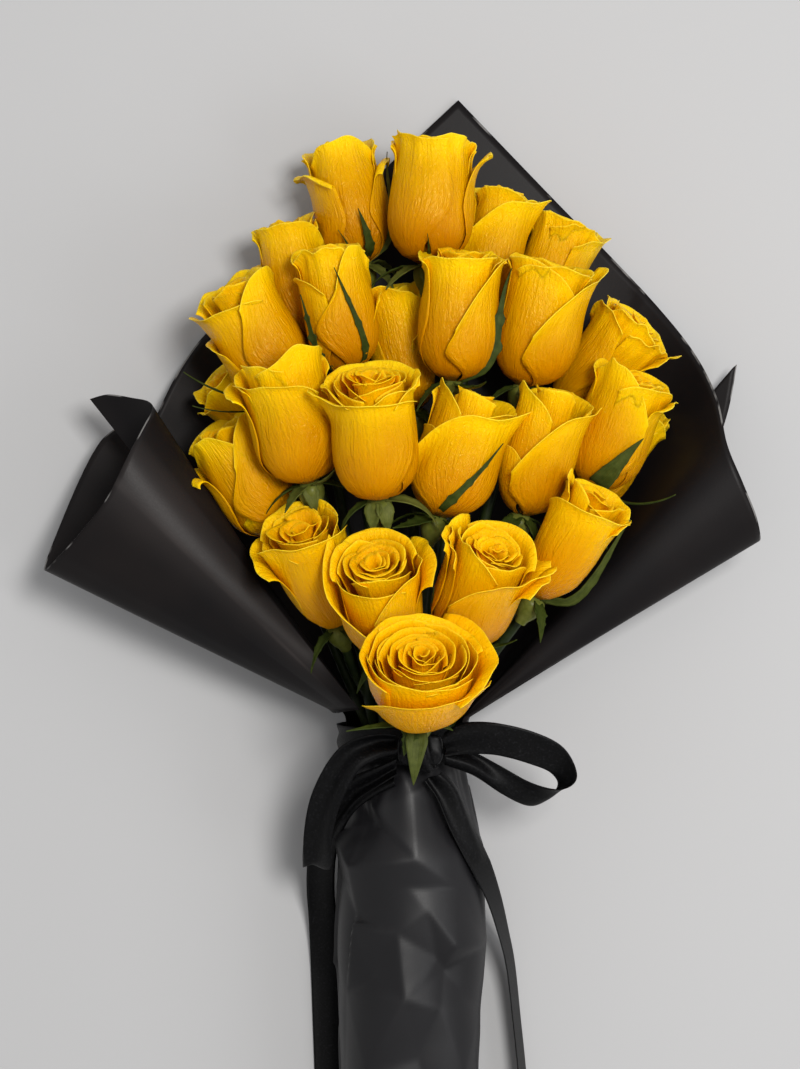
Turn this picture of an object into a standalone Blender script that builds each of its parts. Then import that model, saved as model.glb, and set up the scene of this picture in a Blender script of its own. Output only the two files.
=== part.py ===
"""Bouquet of roses, tied and wrapped, lying on its back.

Metres, +Z up.  The handle points to -Y, the heads to +Y, and the flowers face +Z.
The design is laid out in millimetres round the tie, which is at x = 0, y = 0, and
the floor is z = 0.  The last step moves everything so that the origin is the centre
of the footprint, on the floor.
"""
import math

import bmesh
import bpy
import numpy as np
from mathutils import Matrix, Vector

MM = 0.001
TIE_Z = 33.0            # height of the bundle's centre at the tie
BLOOM_SIDES = 10
STEM_R = 2.7            # rose stem
HIP_R = 5.2             # swelling under the petals
STEM_END_Y = -252.0     # cut ends of the stems
TIE_IN_Y = -12.0        # where the stems are all parallel
SPREAD = 1.38           # the bundle opens out again below the tie
WRAP_END_Y = -240.0     # lower edge of the handle's wrap
SHEET_T = 1.0           # stiff wrapping sheet, with its doubled hem
FILM_T = 0.8            # softer film round the handle
RIBBON_W = 17.0
RIBBON_T = 0.8
GAP = 0.6               # free space kept between neighbours

# One line a rose: centre of the head (x, y, z), lean from +Y toward +X in degrees,
# tilt toward +Z in degrees, greatest radius, length of the head.
ROSES = {
    1: (-26.0, 255.0, 36.0, -11, 2, 18.0, 60),
    2: (12.0, 253.5, 56.0, 3, 2, 20.6, 60),
    3: (40.5, 234.0, 35.0, 14, 4, 16.6, 60),
    4: (69.5, 220.5, 21.5, 16, 4, 16.2, 60),
    5: (-51.0, 216.5, 41.0, -12, 4, 15.8, 60),
    6: (-31.5, 202.0, 68.5, -9, 8, 16.7, 60),
    7: (-1.5, 185.5, 48.5, -12, 6, 14.6, 60),
    8: (24.0, 198.0, 77.0, 4, 14, 18.6, 60),
    9: (61.5, 195.5, 66.5, 13, 8, 20.4, 60),
    10: (93.0, 178.0, 42.0, 39, 10, 17.6, 60),
    11: (-68.5, 188.0, 62.0, -27, 10, 18.6, 60),
    12: (-50.0, 150.0, 87.5, -12, 16, 20.4, 60),
    13: (-14.0, 142.0, 106.0, -4, 22, 20.0, 60),
    14: (24.0, 134.5, 87.5, 18, 12, 18.7, 60),
    15: (61.0, 135.5, 78.5, 15, 12, 17.5, 60),
    16: (97.0, 147.0, 67.5, 20, 12, 17.8, 60),
    17: (-73.0, 124.5, 58.0, -30, 10, 17.8, 60),
    18: (-70.0, 153.0, 33.5, -43, 6, 15.0, 60),
    19: (-40.3, 79.5, 77.0, -20, 32, 18.8, 60),
    20: (-10.5, 67.5, 98.5, -10, 40, 19.4, 60),
    21: (32.5, 72.0, 98.0, 22, 36, 19.6, 60),
    22: (74.5, 94.0, 91.0, 31, 26, 16.8, 60),
    23: (6.8, 31.5, 127.5, 3, 50, 25.8, 42),
    24: (99.5, 136.0, 31.5, 32, 4, 14.0, 60),
}
# Outline of a head: share of its length, share of its greatest radius.
HEAD = [(0.0, 0.16), (0.06, 0.50), (0.16, 0.80), (0.30, 0.95), (0.46, 1.0),
        (0.66, 0.97), (0.84, 0.90), (0.95, 0.82), (1.0, 0.62)]
HEAD_DIMPLE = 0.93      # the heart sits a little below the rim


# ---------------------------------------------------------------- helpers
for ob in list(bpy.data.objects):
    bpy.data.objects.remove(ob, do_unlink=True)
COLL = bpy.data.collections.new("bouquet_of_roses")
bpy.context.scene.collection.children.link(COLL)


def material(name, colour, rough, metallic=0.0):
    m = bpy.data.materials.get(name)
    if m is None:
        m = bpy.data.materials.new(name)
        m.use_nodes = True
        bsdf = m.node_tree.nodes["Principled BSDF"]
        bsdf.inputs["Base Color"].default_value = (*colour, 1.0)
        bsdf.inputs["Roughness"].default_value = rough
        bsdf.inputs["Metallic"].default_value = metallic
    return m


PETAL = material("rose_petal", (0.89, 0.50, 0.012), 0.55)
STEM = material("rose_stem", (0.055, 0.13, 0.028), 0.5)
PAPER = material("wrapping_sheet", (0.014, 0.013, 0.015), 0.42)
FILM = material("handle_film", (0.035, 0.033, 0.038), 0.38)
SATIN = material("ribbon_satin", (0.008, 0.008, 0.009), 0.33)
CORD = material("tie_band", (0.16, 0.11, 0.06), 0.8)


def add(name, mesh, mat):
    mesh.name = name
    mesh.materials.clear()
    mesh.materials.append(mat)
    mesh.shade_smooth()
    ob = bpy.data.objects.new(name, mesh)
    COLL.objects.link(ob)
    return ob


def axis_of(lean, tilt):
    a, t = math.radians(lean), math.radians(tilt)
    return Vector((math.cos(t) * math.sin(a), math.cos(t) * math.cos(a), math.sin(t)))


def head_radius(h):
    """Share of the greatest radius at a share h of the head's length."""
    if h <= 0.0:
        return HEAD[0][1]
    for (h0, r0), (h1, r1) in zip(HEAD, HEAD[1:]):
        if h <= h1:
            return r0 + (r1 - r0) * (h - h0) / (h1 - h0)
    return HEAD[-1][1]


def smooth(t):
    t = min(1.0, max(0.0, t))
    return t * t * (3.0 - 2.0 * t)


def through(points, t):
    """Point at t, from 0 to 1, on a smooth curve through the points."""
    n = len(points) - 1
    s = min(max(t, 0.0), 1.0) * n
    i = min(int(s), n - 1)
    f = s - i
    p = [Vector(points[min(max(k, 0), n)]) for k in (i - 1, i, i + 1, i + 2)]
    return 0.5 * (2 * p[1] + (p[2] - p[0]) * f + (2 * p[0] - 5 * p[1] + 4 * p[2] - p[3]) * f * f
                  + (3 * p[1] - p[0] - 3 * p[2] + p[3]) * f ** 3)


def surface(name, mat, place, nu, nv, thickness, closed=False, even=True):
    """A sheet from place(u, v) -> Vector in mm, with u and v from 0 to 1."""
    bm = bmesh.new()
    bmesh.ops.create_grid(bm, x_segments=nu, y_segments=nv, size=0.5)
    for v in bm.verts:
        v.co = place(v.co.x + 0.5, v.co.y + 0.5) * MM
    if closed:
        bmesh.ops.remove_doubles(bm, verts=bm.verts, dist=1e-5)
    bmesh.ops.recalc_face_normals(bm, faces=bm.faces)
    mesh = bpy.data.meshes.new(name)
    bm.to_mesh(mesh)
    bm.free()
    ob = add(name, mesh, mat)
    so = ob.modifiers.new("thickness", "SOLIDIFY")
    so.thickness = thickness * MM
    so.offset = 0.0
    so.use_even_offset = even
    return ob


# ---------------------------------------------------------------- rose heads
def bloom(n):
    x, y, z, lean, tilt, radius, length = ROSES[n]
    bm = bmesh.new()
    prof = [(0.0, HEAD_DIMPLE)] + [(r, h) for h, r in reversed(HEAD)] + [(0.0, 0.0)]
    verts = [bm.verts.new((r * radius * MM, 0.0, (h - 0.5) * length * MM)) for r, h in prof]
    for a, b in zip(verts, verts[1:]):
        bm.edges.new((a, b))
    mesh = bpy.data.meshes.new("rose_%02d_bloom" % n)
    bm.to_mesh(mesh)
    bm.free()
    ob = add("rose_%02d_bloom" % n, mesh, PETAL)
    sc = ob.modifiers.new("turn", "SCREW")
    sc.steps = sc.render_steps = BLOOM_SIDES
    sc.use_merge_vertices = True
    sc.merge_threshold = 1e-5
    sc.use_smooth_shade = True
    ob.location = Vector((x, y, z)) * MM
    ob.rotation_mode = 'QUATERNION'
    ob.rotation_quaternion = axis_of(lean, tilt).to_track_quat('Z', 'Y')
    return ob


for n in ROSES:
    bloom(n)


# ---------------------------------------------------------------- stems
# Each stem leaves the base of its head, passes between and under the others and
# runs into the tied bundle.  The routes are found by pushing evenly spaced points
# off the heads and off each other while keeping them smooth.
def base_of(n):
    x, y, z, lean, tilt, radius, length = ROSES[n]
    return Vector((x, y, z)) - axis_of(lean, tilt) * (length * 0.5)


def bundle_slots():
    """Where each stem crosses the tie: the heads' order, drawn in to a round bundle."""
    order = sorted(ROSES)
    p = np.array([[base_of(n).x * 0.17, (base_of(n).z - 55.0) * 0.28] for n in order])
    need = 2 * STEM_R + GAP
    for _ in range(4000):
        d = p[:, None] - p[None]
        dist = np.linalg.norm(d, axis=2) + np.eye(len(p)) * 1e3
        push = np.maximum(0.0, need - dist)[..., None] * d / np.maximum(dist, 1e-6)[..., None]
        p = p + 0.3 * push.sum(axis=1)
        r = np.linalg.norm(p, axis=1)
        p = p * np.where(r > 17.2, 1.0 - 0.2 * (r - 17.2) / np.maximum(r, 1e-6), 1.0)[:, None]
    return {n: Vector((p[i, 0], TIE_IN_Y, TIE_Z + p[i, 1])) for i, n in enumerate(order)}


SLOT = bundle_slots()
STEPS = 36              # points on the free length of a stem


def stem_routes():
    names = sorted(ROSES)
    path = np.zeros((len(names), STEPS, 3))
    lock = np.zeros((len(names), STEPS, 1))
    for i, n in enumerate(names):
        u = axis_of(ROSES[n][3], ROSES[n][4])
        start = base_of(n) - u * 10.0
        neck = Vector((SLOT[n].x, 14.0, SLOT[n].z))
        dip = 0.62 * max(0.0, start.z - 38.0)
        for k in range(STEPS):
            t = k / (STEPS - 6)
            if t <= 1.0:
                q = start.lerp(neck, t)
                q.z -= dip * math.sin(math.pi * t) ** 0.8
            else:
                q = neck.lerp(SLOT[n], (k - STEPS + 6) / 5.0)
            path[i, k] = q
        lock[i, 1:-3] = 1.0
    radius = np.full(STEPS, STEM_R + GAP)
    for step in range(900):
        move = np.zeros_like(path)
        move[:, 1:-1] = 0.45 * (0.5 * (path[:, :-2] + path[:, 2:]) - path[:, 1:-1])
        for j, m in enumerate(names):                       # off the heads
            x, y, z, lean, tilt, rad, length = ROSES[m]
            u = np.array(axis_of(lean, tilt))
            rel = path - np.array(base_of(m))
            h = rel @ u
            side = rel - h[..., None] * u
            r = np.linalg.norm(side, axis=2)
            share = np.interp(h / length, [a for a, _ in HEAD], [b for _, b in HEAD])
            want = share * rad + radius + 0.9
            want = np.where((h > -2.5) & (h < length + 3.0), want, 0.0)
            want[j] = np.where(h[j] > -2.0, want[j], 0.0)
            deep = np.maximum(0.0, want - r)
            move += 0.55 * deep[..., None] * side / np.maximum(r, 1e-6)[..., None]
        flat = path.reshape(-1, 3)                          # off each other
        owner = np.repeat(np.arange(len(names)), STEPS)
        d = flat[:, None] - flat[None]
        dist = np.linalg.norm(d, axis=2)
        need = 2 * STEM_R + GAP + 0.5
        hit = (dist < need) & (owner[:, None] != owner[None])
        w = np.where(hit, (need - dist) / np.maximum(dist, 1e-6), 0.0)
        move += 0.3 * (w[..., None] * d).sum(axis=1).reshape(path.shape)
        move[..., 2] += 0.6 * np.maximum(0.0, 6.5 - path[..., 2])    # off the sheet below
        off = path - np.array([0.0, 0.0, TIE_Z])            # inside the tie
        off[..., 1] = 0.0
        r = np.linalg.norm(off, axis=2)
        y = path[..., 1]
        room = np.where(y < 0.0, 18.4, np.where(y < 7.0, 21.4, 23.4))
        over = np.where(y < 13.5, np.maximum(0.0, r - room), 0.0)
        move -= 0.6 * over[..., None] * off / np.maximum(r, 1e-6)[..., None]
        move[..., 1] += 0.5 * np.minimum(over, 3.0) * (y > 2.0)
        path = path + lock * np.clip(move, -2.5, 2.5)
    return {n: [Vector(q) for q in path[i]] for i, n in enumerate(names)}


ROUTES = stem_routes()


def stem(n):
    u = axis_of(ROSES[n][3], ROSES[n][4])
    top = base_of(n) - u * 0.5
    pts = [(top, 3.6), (top - u * 1.6, HIP_R), (top - u * 6.0, HIP_R * 0.92),
           (top - u * 9.0, STEM_R * 1.25)]
    route = ROUTES[n]
    pts += [(q, STEM_R) for q in route[1:-3:3]]
    s = SLOT[n]
    out = Vector((s.x, 0.0, s.z - TIE_Z))
    for y, k, z in ((TIE_IN_Y, 1.0, TIE_Z), (-60.0, 0.5 + 0.5 * SPREAD, TIE_Z + 0.6),
                    (-140.0, SPREAD, 32.2), (STEM_END_Y + 3.0 * math.sin(n * 2.3), SPREAD, 32.0)):
        pts.append((Vector((0.0, y, z)) + out * k, STEM_R))
    cu = bpy.data.curves.new("rose_%02d_stem" % n, 'CURVE')
    cu.dimensions = '3D'
    cu.bevel_depth = MM
    cu.bevel_resolution = 1
    cu.use_fill_caps = True
    cu.resolution_u = 1
    cu.render_resolution_u = 0
    sp = cu.splines.new('POLY')
    sp.points.add(len(pts) - 1)
    for p, (q, r) in zip(sp.points, pts):
        p.co = (*(q * MM), 1.0)
        p.radius = r
    cu.materials.append(STEM)
    ob = bpy.data.objects.new(cu.name, cu)
    COLL.objects.link(ob)
    return ob


for n in ROSES:
    stem(n)


# ---------------------------------------------------------------- tie, sheets, handle
def ring(name, mat, y0, y1, inner, outer, sides=32):
    """A flat band round the bundle, turned about the Y axis."""
    bm = bmesh.new()
    prof = [(inner, y1), (outer, y1), (outer, y0), (inner, y0)]
    vs = [bm.verts.new((r * MM, 0.0, y * MM)) for r, y in prof]
    for a, b in zip(vs, vs[1:] + vs[:1]):
        bm.edges.new((a, b))
    mesh = bpy.data.meshes.new(name)
    bm.to_mesh(mesh)
    bm.free()
    ob = add(name, mesh, mat)
    sc = ob.modifiers.new("turn", "SCREW")
    sc.steps = sc.render_steps = sides
    sc.use_merge_vertices = True
    sc.merge_threshold = 1e-5
    ob.location = (0.0, 0.0, TIE_Z * MM)
    ob.rotation_euler = (math.radians(-90), 0.0, 0.0)
    return ob


ring("stem_tie", CORD, -12.0, -3.0, 22.4, 23.8)
ring("ribbon_band", SATIN, -9.0, 8.0, 31.3, 32.3)


def handle(u, v):
    """Film round the stems: snug at the tie, wider below it, slightly pleated."""
    y = 5.0 + (WRAP_END_Y - 5.0) * v ** 1.7
    grow = smooth((-y) / 55.0)
    radius = 25.6 + 8.6 * grow - 2.6 * smooth((-y - 60.0) / 120.0)
    radius += 0.5 * math.sin(9.0 * math.tau * u + 2.5 * v) * (1.0 - grow)
    zc = TIE_Z + (radius + FILM_T * 0.5 - TIE_Z) * grow
    a = math.tau * u
    return Vector((radius * math.sin(a), y, zc - radius * math.cos(a)))


surface("handle_wrap", FILM, handle, 28, 10, FILM_T, closed=True)

def tie_arc(radius, angle):
    """Point round the bundle; 0 degrees is below it, +90 is its right side."""
    a = math.radians(angle)
    return Vector((radius * math.sin(a), 0.0, TIE_Z - radius * math.cos(a)))


NECK = 1.0 / 6.0           # share of a sheet that lies straight under the ribbon


def along_rim(rim, corner, u):
    """Point at u on a rim whose curve is broken at one sharp corner."""
    k = corner / (len(rim) - 1)
    if u <= k:
        return through(rim[:corner + 1], u / k)
    return through(rim[corner:], (u - k) / (1.0 - k))


def fan(rim, corner, gather, floor, straight):
    """A sheet that is gathered under the ribbon and opens out to its rim.

    It leaves the tie along +Y, drops to the height `floor` in its middle and rises
    to the rim; where `straight` is 1 it runs straight from the tie to the rim.
    """
    def place(u, v):
        end = along_rim(rim, corner, u)
        foot = tie_arc(*gather(u))
        if v < NECK:
            return foot + Vector((0.0, -7.0 + 18.0 * v / NECK, 0.0))
        foot.y = 11.0
        t = (v - NECK) / (1.0 - NECK)
        q = foot.lerp(end, t)
        drop = foot.z - floor
        eased = floor + drop * max(0.0, 1.0 - t * 2.8) ** 1.5 + (end.z - floor) * t ** 2.2
        k = straight(u)
        q.z = max(k * q.z + (1.0 - k) * eased, SHEET_T * 0.5)
        return q
    return place


# The outer sheet lies on the floor under everything; only its right corner shows.
UNDER_RIM = [(-84, 150, 0.5), (-50, 196, 0.5), (0, 228, 0.5), (60, 212, 0.5), (128, 158, 4.0),
             (160, 180, 14.0), (156, 158, 13.0), (149, 135, 10.0)]
surface("under_sheet", PAPER,
        fan(UNDER_RIM, 5, lambda u: (29.8, -40.0 + 112.0 * u), SHEET_T * 0.5, lambda u: 0.0),
        21, 12, SHEET_T)

# The main sheet lies on it behind the flowers.  Its left side turns up a little; its
# right side comes forward as a wing and rolls back under at the lower edge.
BACK_RIM = [(-121, 152, 16), (-107, 181, 9), (-88, 204, 3), (-31, 256, 2), (26, 309, 2),
            (77, 256, 2), (97, 236, 3), (123, 207, 9), (139, 184, 22), (147, 162, 44),
            (150, 140, 59), (157, 122, 62), (164, 106, 57), (167, 95, 44), (161, 103, 30),
            (148, 116, 24)]
ROLL = 13.0 / 15.0      # where the right side turns under


def back_gather(u):
    if u <= 0.65:
        return 27.9, -88.0 + 183.0 * u / 0.65
    if u <= ROLL:
        return 27.9, 95.0 + 8.0 * (u - 0.65) / (ROLL - 0.65)
    return 27.9 + 2.2 * smooth((u - ROLL) / 0.02), 103.5 - 110.0 * max(0.0, u - ROLL - 0.02)


surface("back_sheet", PAPER,
        fan(BACK_RIM, 4, back_gather, 2.0, lambda u: smooth((u - 0.52) / 0.16)),
        45, 12, SHEET_T, even=False)

# The left sheet is rolled into a cone: its rim, from the side next to the floor,
# round the outside and over the front, then down beside the flowers and inside.
LEFT_RIM = [(-138, 150, 14), (-146, 143, 17), (-154, 128, 22), (-163, 104, 34), (-169, 82, 52),
            (-160, 88, 68), (-147, 101, 79), (-136, 115, 84), (-127, 133, 84), (-120, 148, 76),
            (-117, 156, 66), (-120, 160, 56), (-128, 162, 48), (-140, 164, 41), (-149, 162, 38)]
FRONT = 0.62            # share of the roll's rim that is its outer layer


def left_foot(u):
    """The roll's small end, pressed flat on the bundle's left and front."""
    if u < FRONT:
        return tie_arc(34.4, -72.0 - 70.0 * u / FRONT) + Vector((0, 12.5 + 4.0 * u / FRONT, 0))
    k = (u - FRONT) / (1.0 - FRONT)
    return tie_arc(34.4 - 2.0 * smooth(k / 0.12), -142.0 + 40.0 * k) + Vector((0, 16.5 - 3.0 * k, 0))


def left_roll(u, v):
    """From the small end to the mouth."""
    q = left_foot(u).lerp(Vector(through(LEFT_RIM, u)), v)
    q.z += 4.0 * math.sin(math.pi * v) * (1.0 - 1.6 * min(u, FRONT))
    return q


surface("left_wing", PAPER, left_roll, 34, 7, SHEET_T, even=False)


# ---------------------------------------------------------------- ribbon
def strap(name, path, widths, across, steps):
    """A flat ribbon along a smooth path; across gives its width direction at each point."""
    def place(u, v):
        c = through(path, u)
        w = through([(x, 0, 0) for x in widths], u).x
        d = through(across, u).normalized()
        return c + d * (w * (v - 0.5))
    return surface(name, SATIN, place, steps, 1, RIBBON_T)


bm = bmesh.new()
bmesh.ops.create_cube(bm, size=1.0)
for v in bm.verts:
    v.co = Vector((v.co.x * 20.0, v.co.y * 19.0, v.co.z * 9.0)) * MM
knot_mesh = bpy.data.meshes.new("ribbon_knot")
bm.to_mesh(knot_mesh)
bm.free()
knot = add("ribbon_knot", knot_mesh, SATIN)
knot.location = (7.0 * MM, -1.5 * MM, (TIE_Z + 32.3 + 5.2) * MM)
bev = knot.modifiers.new("round", "BEVEL")
bev.width = 3.0 * MM
bev.segments = 2

strap("bow_loop_left",
      [(-4.0, 1, 73), (-14, 0, 74.5), (-26, -6, 74), (-36, -24, 69), (-40, -42, 62), (-40, -55, 56),
       (-41.5, -57, 50), (-41, -46, 49.5), (-35, -33, 58), (-25, -21, 65.5), (-13, -14, 69.5), (-4.0, -9, 70)],
      [9, 11, 13, 13, 14, 14, 14, 14, 12, 10, 8, 6],
      [(0, 1, 0), (-0.1, 1, 0), (-0.6, 0.8, -0.1), (-0.9, 0.35, -0.35), (-0.85, 0.05, -0.5), (-0.85, 0, -0.5),
       (-0.85, 0, -0.5), (-0.8, 0.1, -0.55), (-0.75, 0.45, -0.4), (-0.45, 0.85, -0.2), (-0.1, 1, 0), (0, 1, 0)],
      34)
strap("bow_loop_right",
      [(18.0, 1, 73), (27, 4, 76), (42, 4, 79), (58, 0, 78), (70, -6, 74), (75, -16, 68),
       (69, -23, 62), (58, -23, 60), (44, -16, 63), (31, -8, 67), (18.0, -4, 69.5)],
      [12, 15, 18, 19, 19, 17, 14, 13, 12, 9, 7],
      [(0, 1, 0.1), (-0.1, 1, 0.2), (-0.1, 1, 0.35), (0.1, 0.95, 0.4), (0.35, 0.75, 0.6),
       (0.5, 0.3, 0.85), (0.4, 0.4, 0.85), (0.1, 0.7, 0.7), (-0.1, 0.9, 0.45), (-0.2, 1, 0.1), (-0.1, 1, 0)],
      30)
strap("ribbon_tail_left",
      [(-5, -15, 64.5), (-16, -20, 61.5), (-28.3, -29, 54.8), (-37, -42, 42), (-41.5, -56, 31), (-42.5, -72, 18),
       (-41.5, -88, 7.5), (-39.5, -110, 1.7), (-38, -140, 0.9), (-37, -168, 0.9), (-36, -198, 0.9)],
      [5, 6, 7, 9, 11, 12, 12, 13, 13, 14, 14],
      [(-0.2, 1, 0), (-0.5, 0.8, -0.2), (-0.7, 0.5, -0.5), (-0.5, 0.15, -0.85), (-0.3, 0.0, -0.95),
       (-0.5, 0, -0.8), (-0.8, 0, -0.5), (-0.98, 0, -0.1), (-1, 0, 0), (-1, 0, 0), (-1, 0, 0)],
      26)
strap("ribbon_tail_right",
      [(13, -14, 67.0), (20, -22, 65.5), (27, -38, 61), (35, -56, 53), (42, -74, 39), (47, -92, 24),
       (51, -110, 13), (54, -136, 9.2), (57, -166, 9.2), (59, -200, 9.2)],
      [8, 13, 16, 17, 17, 17, 17, 17, 17, 17],
      [(0.9, 0.5, 0), (1, 0.3, -0.3), (1, 0.2, -0.5), (0.8, 0.1, -0.65), (0.5, 0, -0.85), (0.3, 0, -0.95),
       (0.1, 0, -1), (0.05, 0, -1), (0.05, 0, -1), (0.05, 0, -1)],
      22)


# ---------------------------------------------------------------- origin
bpy.context.view_layer.update()
deps = bpy.context.evaluated_depsgraph_get()
low, high = Vector((1e9,) * 3), Vector((-1e9,) * 3)
for ob in COLL.objects:
    ev = ob.evaluated_get(deps)
    me = ev.to_mesh()
    for v in me.vertices:
        w = ob.matrix_world @ v.co
        for k in range(3):
            low[k] = min(low[k], w[k])
            high[k] = max(high[k], w[k])
    ev.to_mesh_clear()
shift = Vector((-(low.x + high.x) / 2, -(low.y + high.y) / 2, -low.z))
for ob in COLL.objects:
    ob.location = ob.location + shift
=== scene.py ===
"""Bouquet of yellow roses in black wrapping, lying on its back: the looks.

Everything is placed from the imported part: each flower from its head's solid, the
sheets, film and ribbon from the tie.  Lengths are in mm and angles in degrees unless
a comment says otherwise, and MM turns mm into the metres of the meshes.
"""

import math
import random

import bmesh
import bpy
import numpy as np
from mathutils import Matrix, Vector, noise
from mathutils.geometry import delaunay_2d_cdt


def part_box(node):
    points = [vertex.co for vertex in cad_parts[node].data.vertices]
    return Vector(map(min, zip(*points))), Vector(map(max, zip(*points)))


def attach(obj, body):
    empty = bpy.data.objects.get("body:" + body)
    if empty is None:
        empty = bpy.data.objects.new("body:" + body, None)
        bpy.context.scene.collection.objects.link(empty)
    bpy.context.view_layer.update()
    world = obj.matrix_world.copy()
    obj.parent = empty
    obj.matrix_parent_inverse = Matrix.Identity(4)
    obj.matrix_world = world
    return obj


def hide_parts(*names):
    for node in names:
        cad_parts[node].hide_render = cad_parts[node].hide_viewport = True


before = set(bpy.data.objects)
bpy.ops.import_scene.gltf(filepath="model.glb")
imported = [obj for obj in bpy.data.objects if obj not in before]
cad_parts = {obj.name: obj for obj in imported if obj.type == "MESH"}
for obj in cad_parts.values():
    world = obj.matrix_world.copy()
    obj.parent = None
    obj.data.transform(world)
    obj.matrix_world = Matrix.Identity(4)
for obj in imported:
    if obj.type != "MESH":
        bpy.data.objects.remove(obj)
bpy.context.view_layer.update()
MM = 0.001

# The tie, in metres on the table below the bundle, and how high the bundle's centre is.
band_low, band_high = (Vector(c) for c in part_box("ribbon_band"))
TIE = Vector(((band_low.x + band_high.x) / 2, (band_low.y + band_high.y) / 2 + 0.5 * MM, 0.0))
TIE_Z = 33.0


# ---------------------------------------------------------------- small helpers
def smooth(t):
    """From 0 to 1 as t goes from 0 to 1, level at both ends."""
    t = min(1.0, max(0.0, t))
    return t * t * (3.0 - 2.0 * t)


def profile(table, h):
    """Straight-line reading of a table of (place, value)."""
    if h <= table[0][0]:
        return table[0][1]
    for (a, va), (b, vb) in zip(table, table[1:]):
        if h <= b:
            return va + (vb - va) * (h - a) / (b - a)
    return table[-1][1]


def through(points, t):
    """Point at t, from 0 to 1, on a smooth curve through the points."""
    n = len(points) - 1
    s = min(max(t, 0.0), 1.0) * n
    i = min(int(s), n - 1)
    f = s - i
    p = [Vector(points[min(max(k, 0), n)]) for k in (i - 1, i, i + 1, i + 2)]
    return 0.5 * (2 * p[1] + (p[2] - p[0]) * f + (2 * p[0] - 5 * p[1] + 4 * p[2] - p[3]) * f * f
                  + (3 * p[1] - p[0] - 3 * p[2] + p[3]) * f ** 3)


def piece(name, bm, material, slot, *replaced, thickness=0.0):
    """Turns a bmesh into a finished piece of the bouquet, with a wall if it has a
    thickness.  It takes the place of the solids named in `replaced`."""
    mesh = bpy.data.meshes.new(name)
    bm.to_mesh(mesh)
    bm.free()
    mesh.shade_smooth()
    mesh.materials.append(material)
    ob = bpy.data.objects.new(name, mesh)
    bpy.context.scene.collection.objects.link(ob)
    if thickness:
        wall = ob.modifiers.new("thickness", 'SOLIDIFY')
        wall.thickness = thickness * MM
        wall.offset = 0.0
    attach(ob, "root")
    if replaced:
        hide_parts(*replaced)
    return ob


def rounded(ob):
    """Rounds a piece with one level of subdivision."""
    sub = ob.modifiers.new("round", 'SUBSURF')
    sub.levels = sub.render_levels = 1


def named(layers, name):
    """The mesh's layer of that name, made if it isn't there yet."""
    return layers.get(name) or layers.new(name)


def closed_round(bm):
    """Joins the ends of a grid that goes once round, and turns its faces outwards."""
    bmesh.ops.remove_doubles(bm, verts=bm.verts, dist=1e-5)
    bmesh.ops.recalc_face_normals(bm, faces=bm.faces)


def sheet_grid(bm, nu, nv, place, fold=None):
    """Adds a grid to bm and moves its points by place(u, v) -> Vector in metres.
    fold(u, v), from 0 to 1, is how much painted highlight and painted sheen its paper gets."""
    uv = named(bm.loops.layers.uv, "UVMap")
    # a layer for the painted highlight and painted sheen along a crease, when fold is given
    painted_light_layer = bm.verts.layers.float.new("fold") if fold else None
    new = bmesh.ops.create_grid(bm, x_segments=nu, y_segments=nv, size=0.5)["verts"]
    where = {v: (v.co.x + 0.5, v.co.y + 0.5) for v in new}
    faces = set()
    for v in new:
        faces.update(v.link_faces)
    for f in faces:
        for loop in f.loops:
            loop[uv].uv = where[loop.vert]
    for v, (a, b) in where.items():
        v.co = place(a, b)
        if fold:
            v[painted_light_layer] = fold(a, b)
    return new


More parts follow.
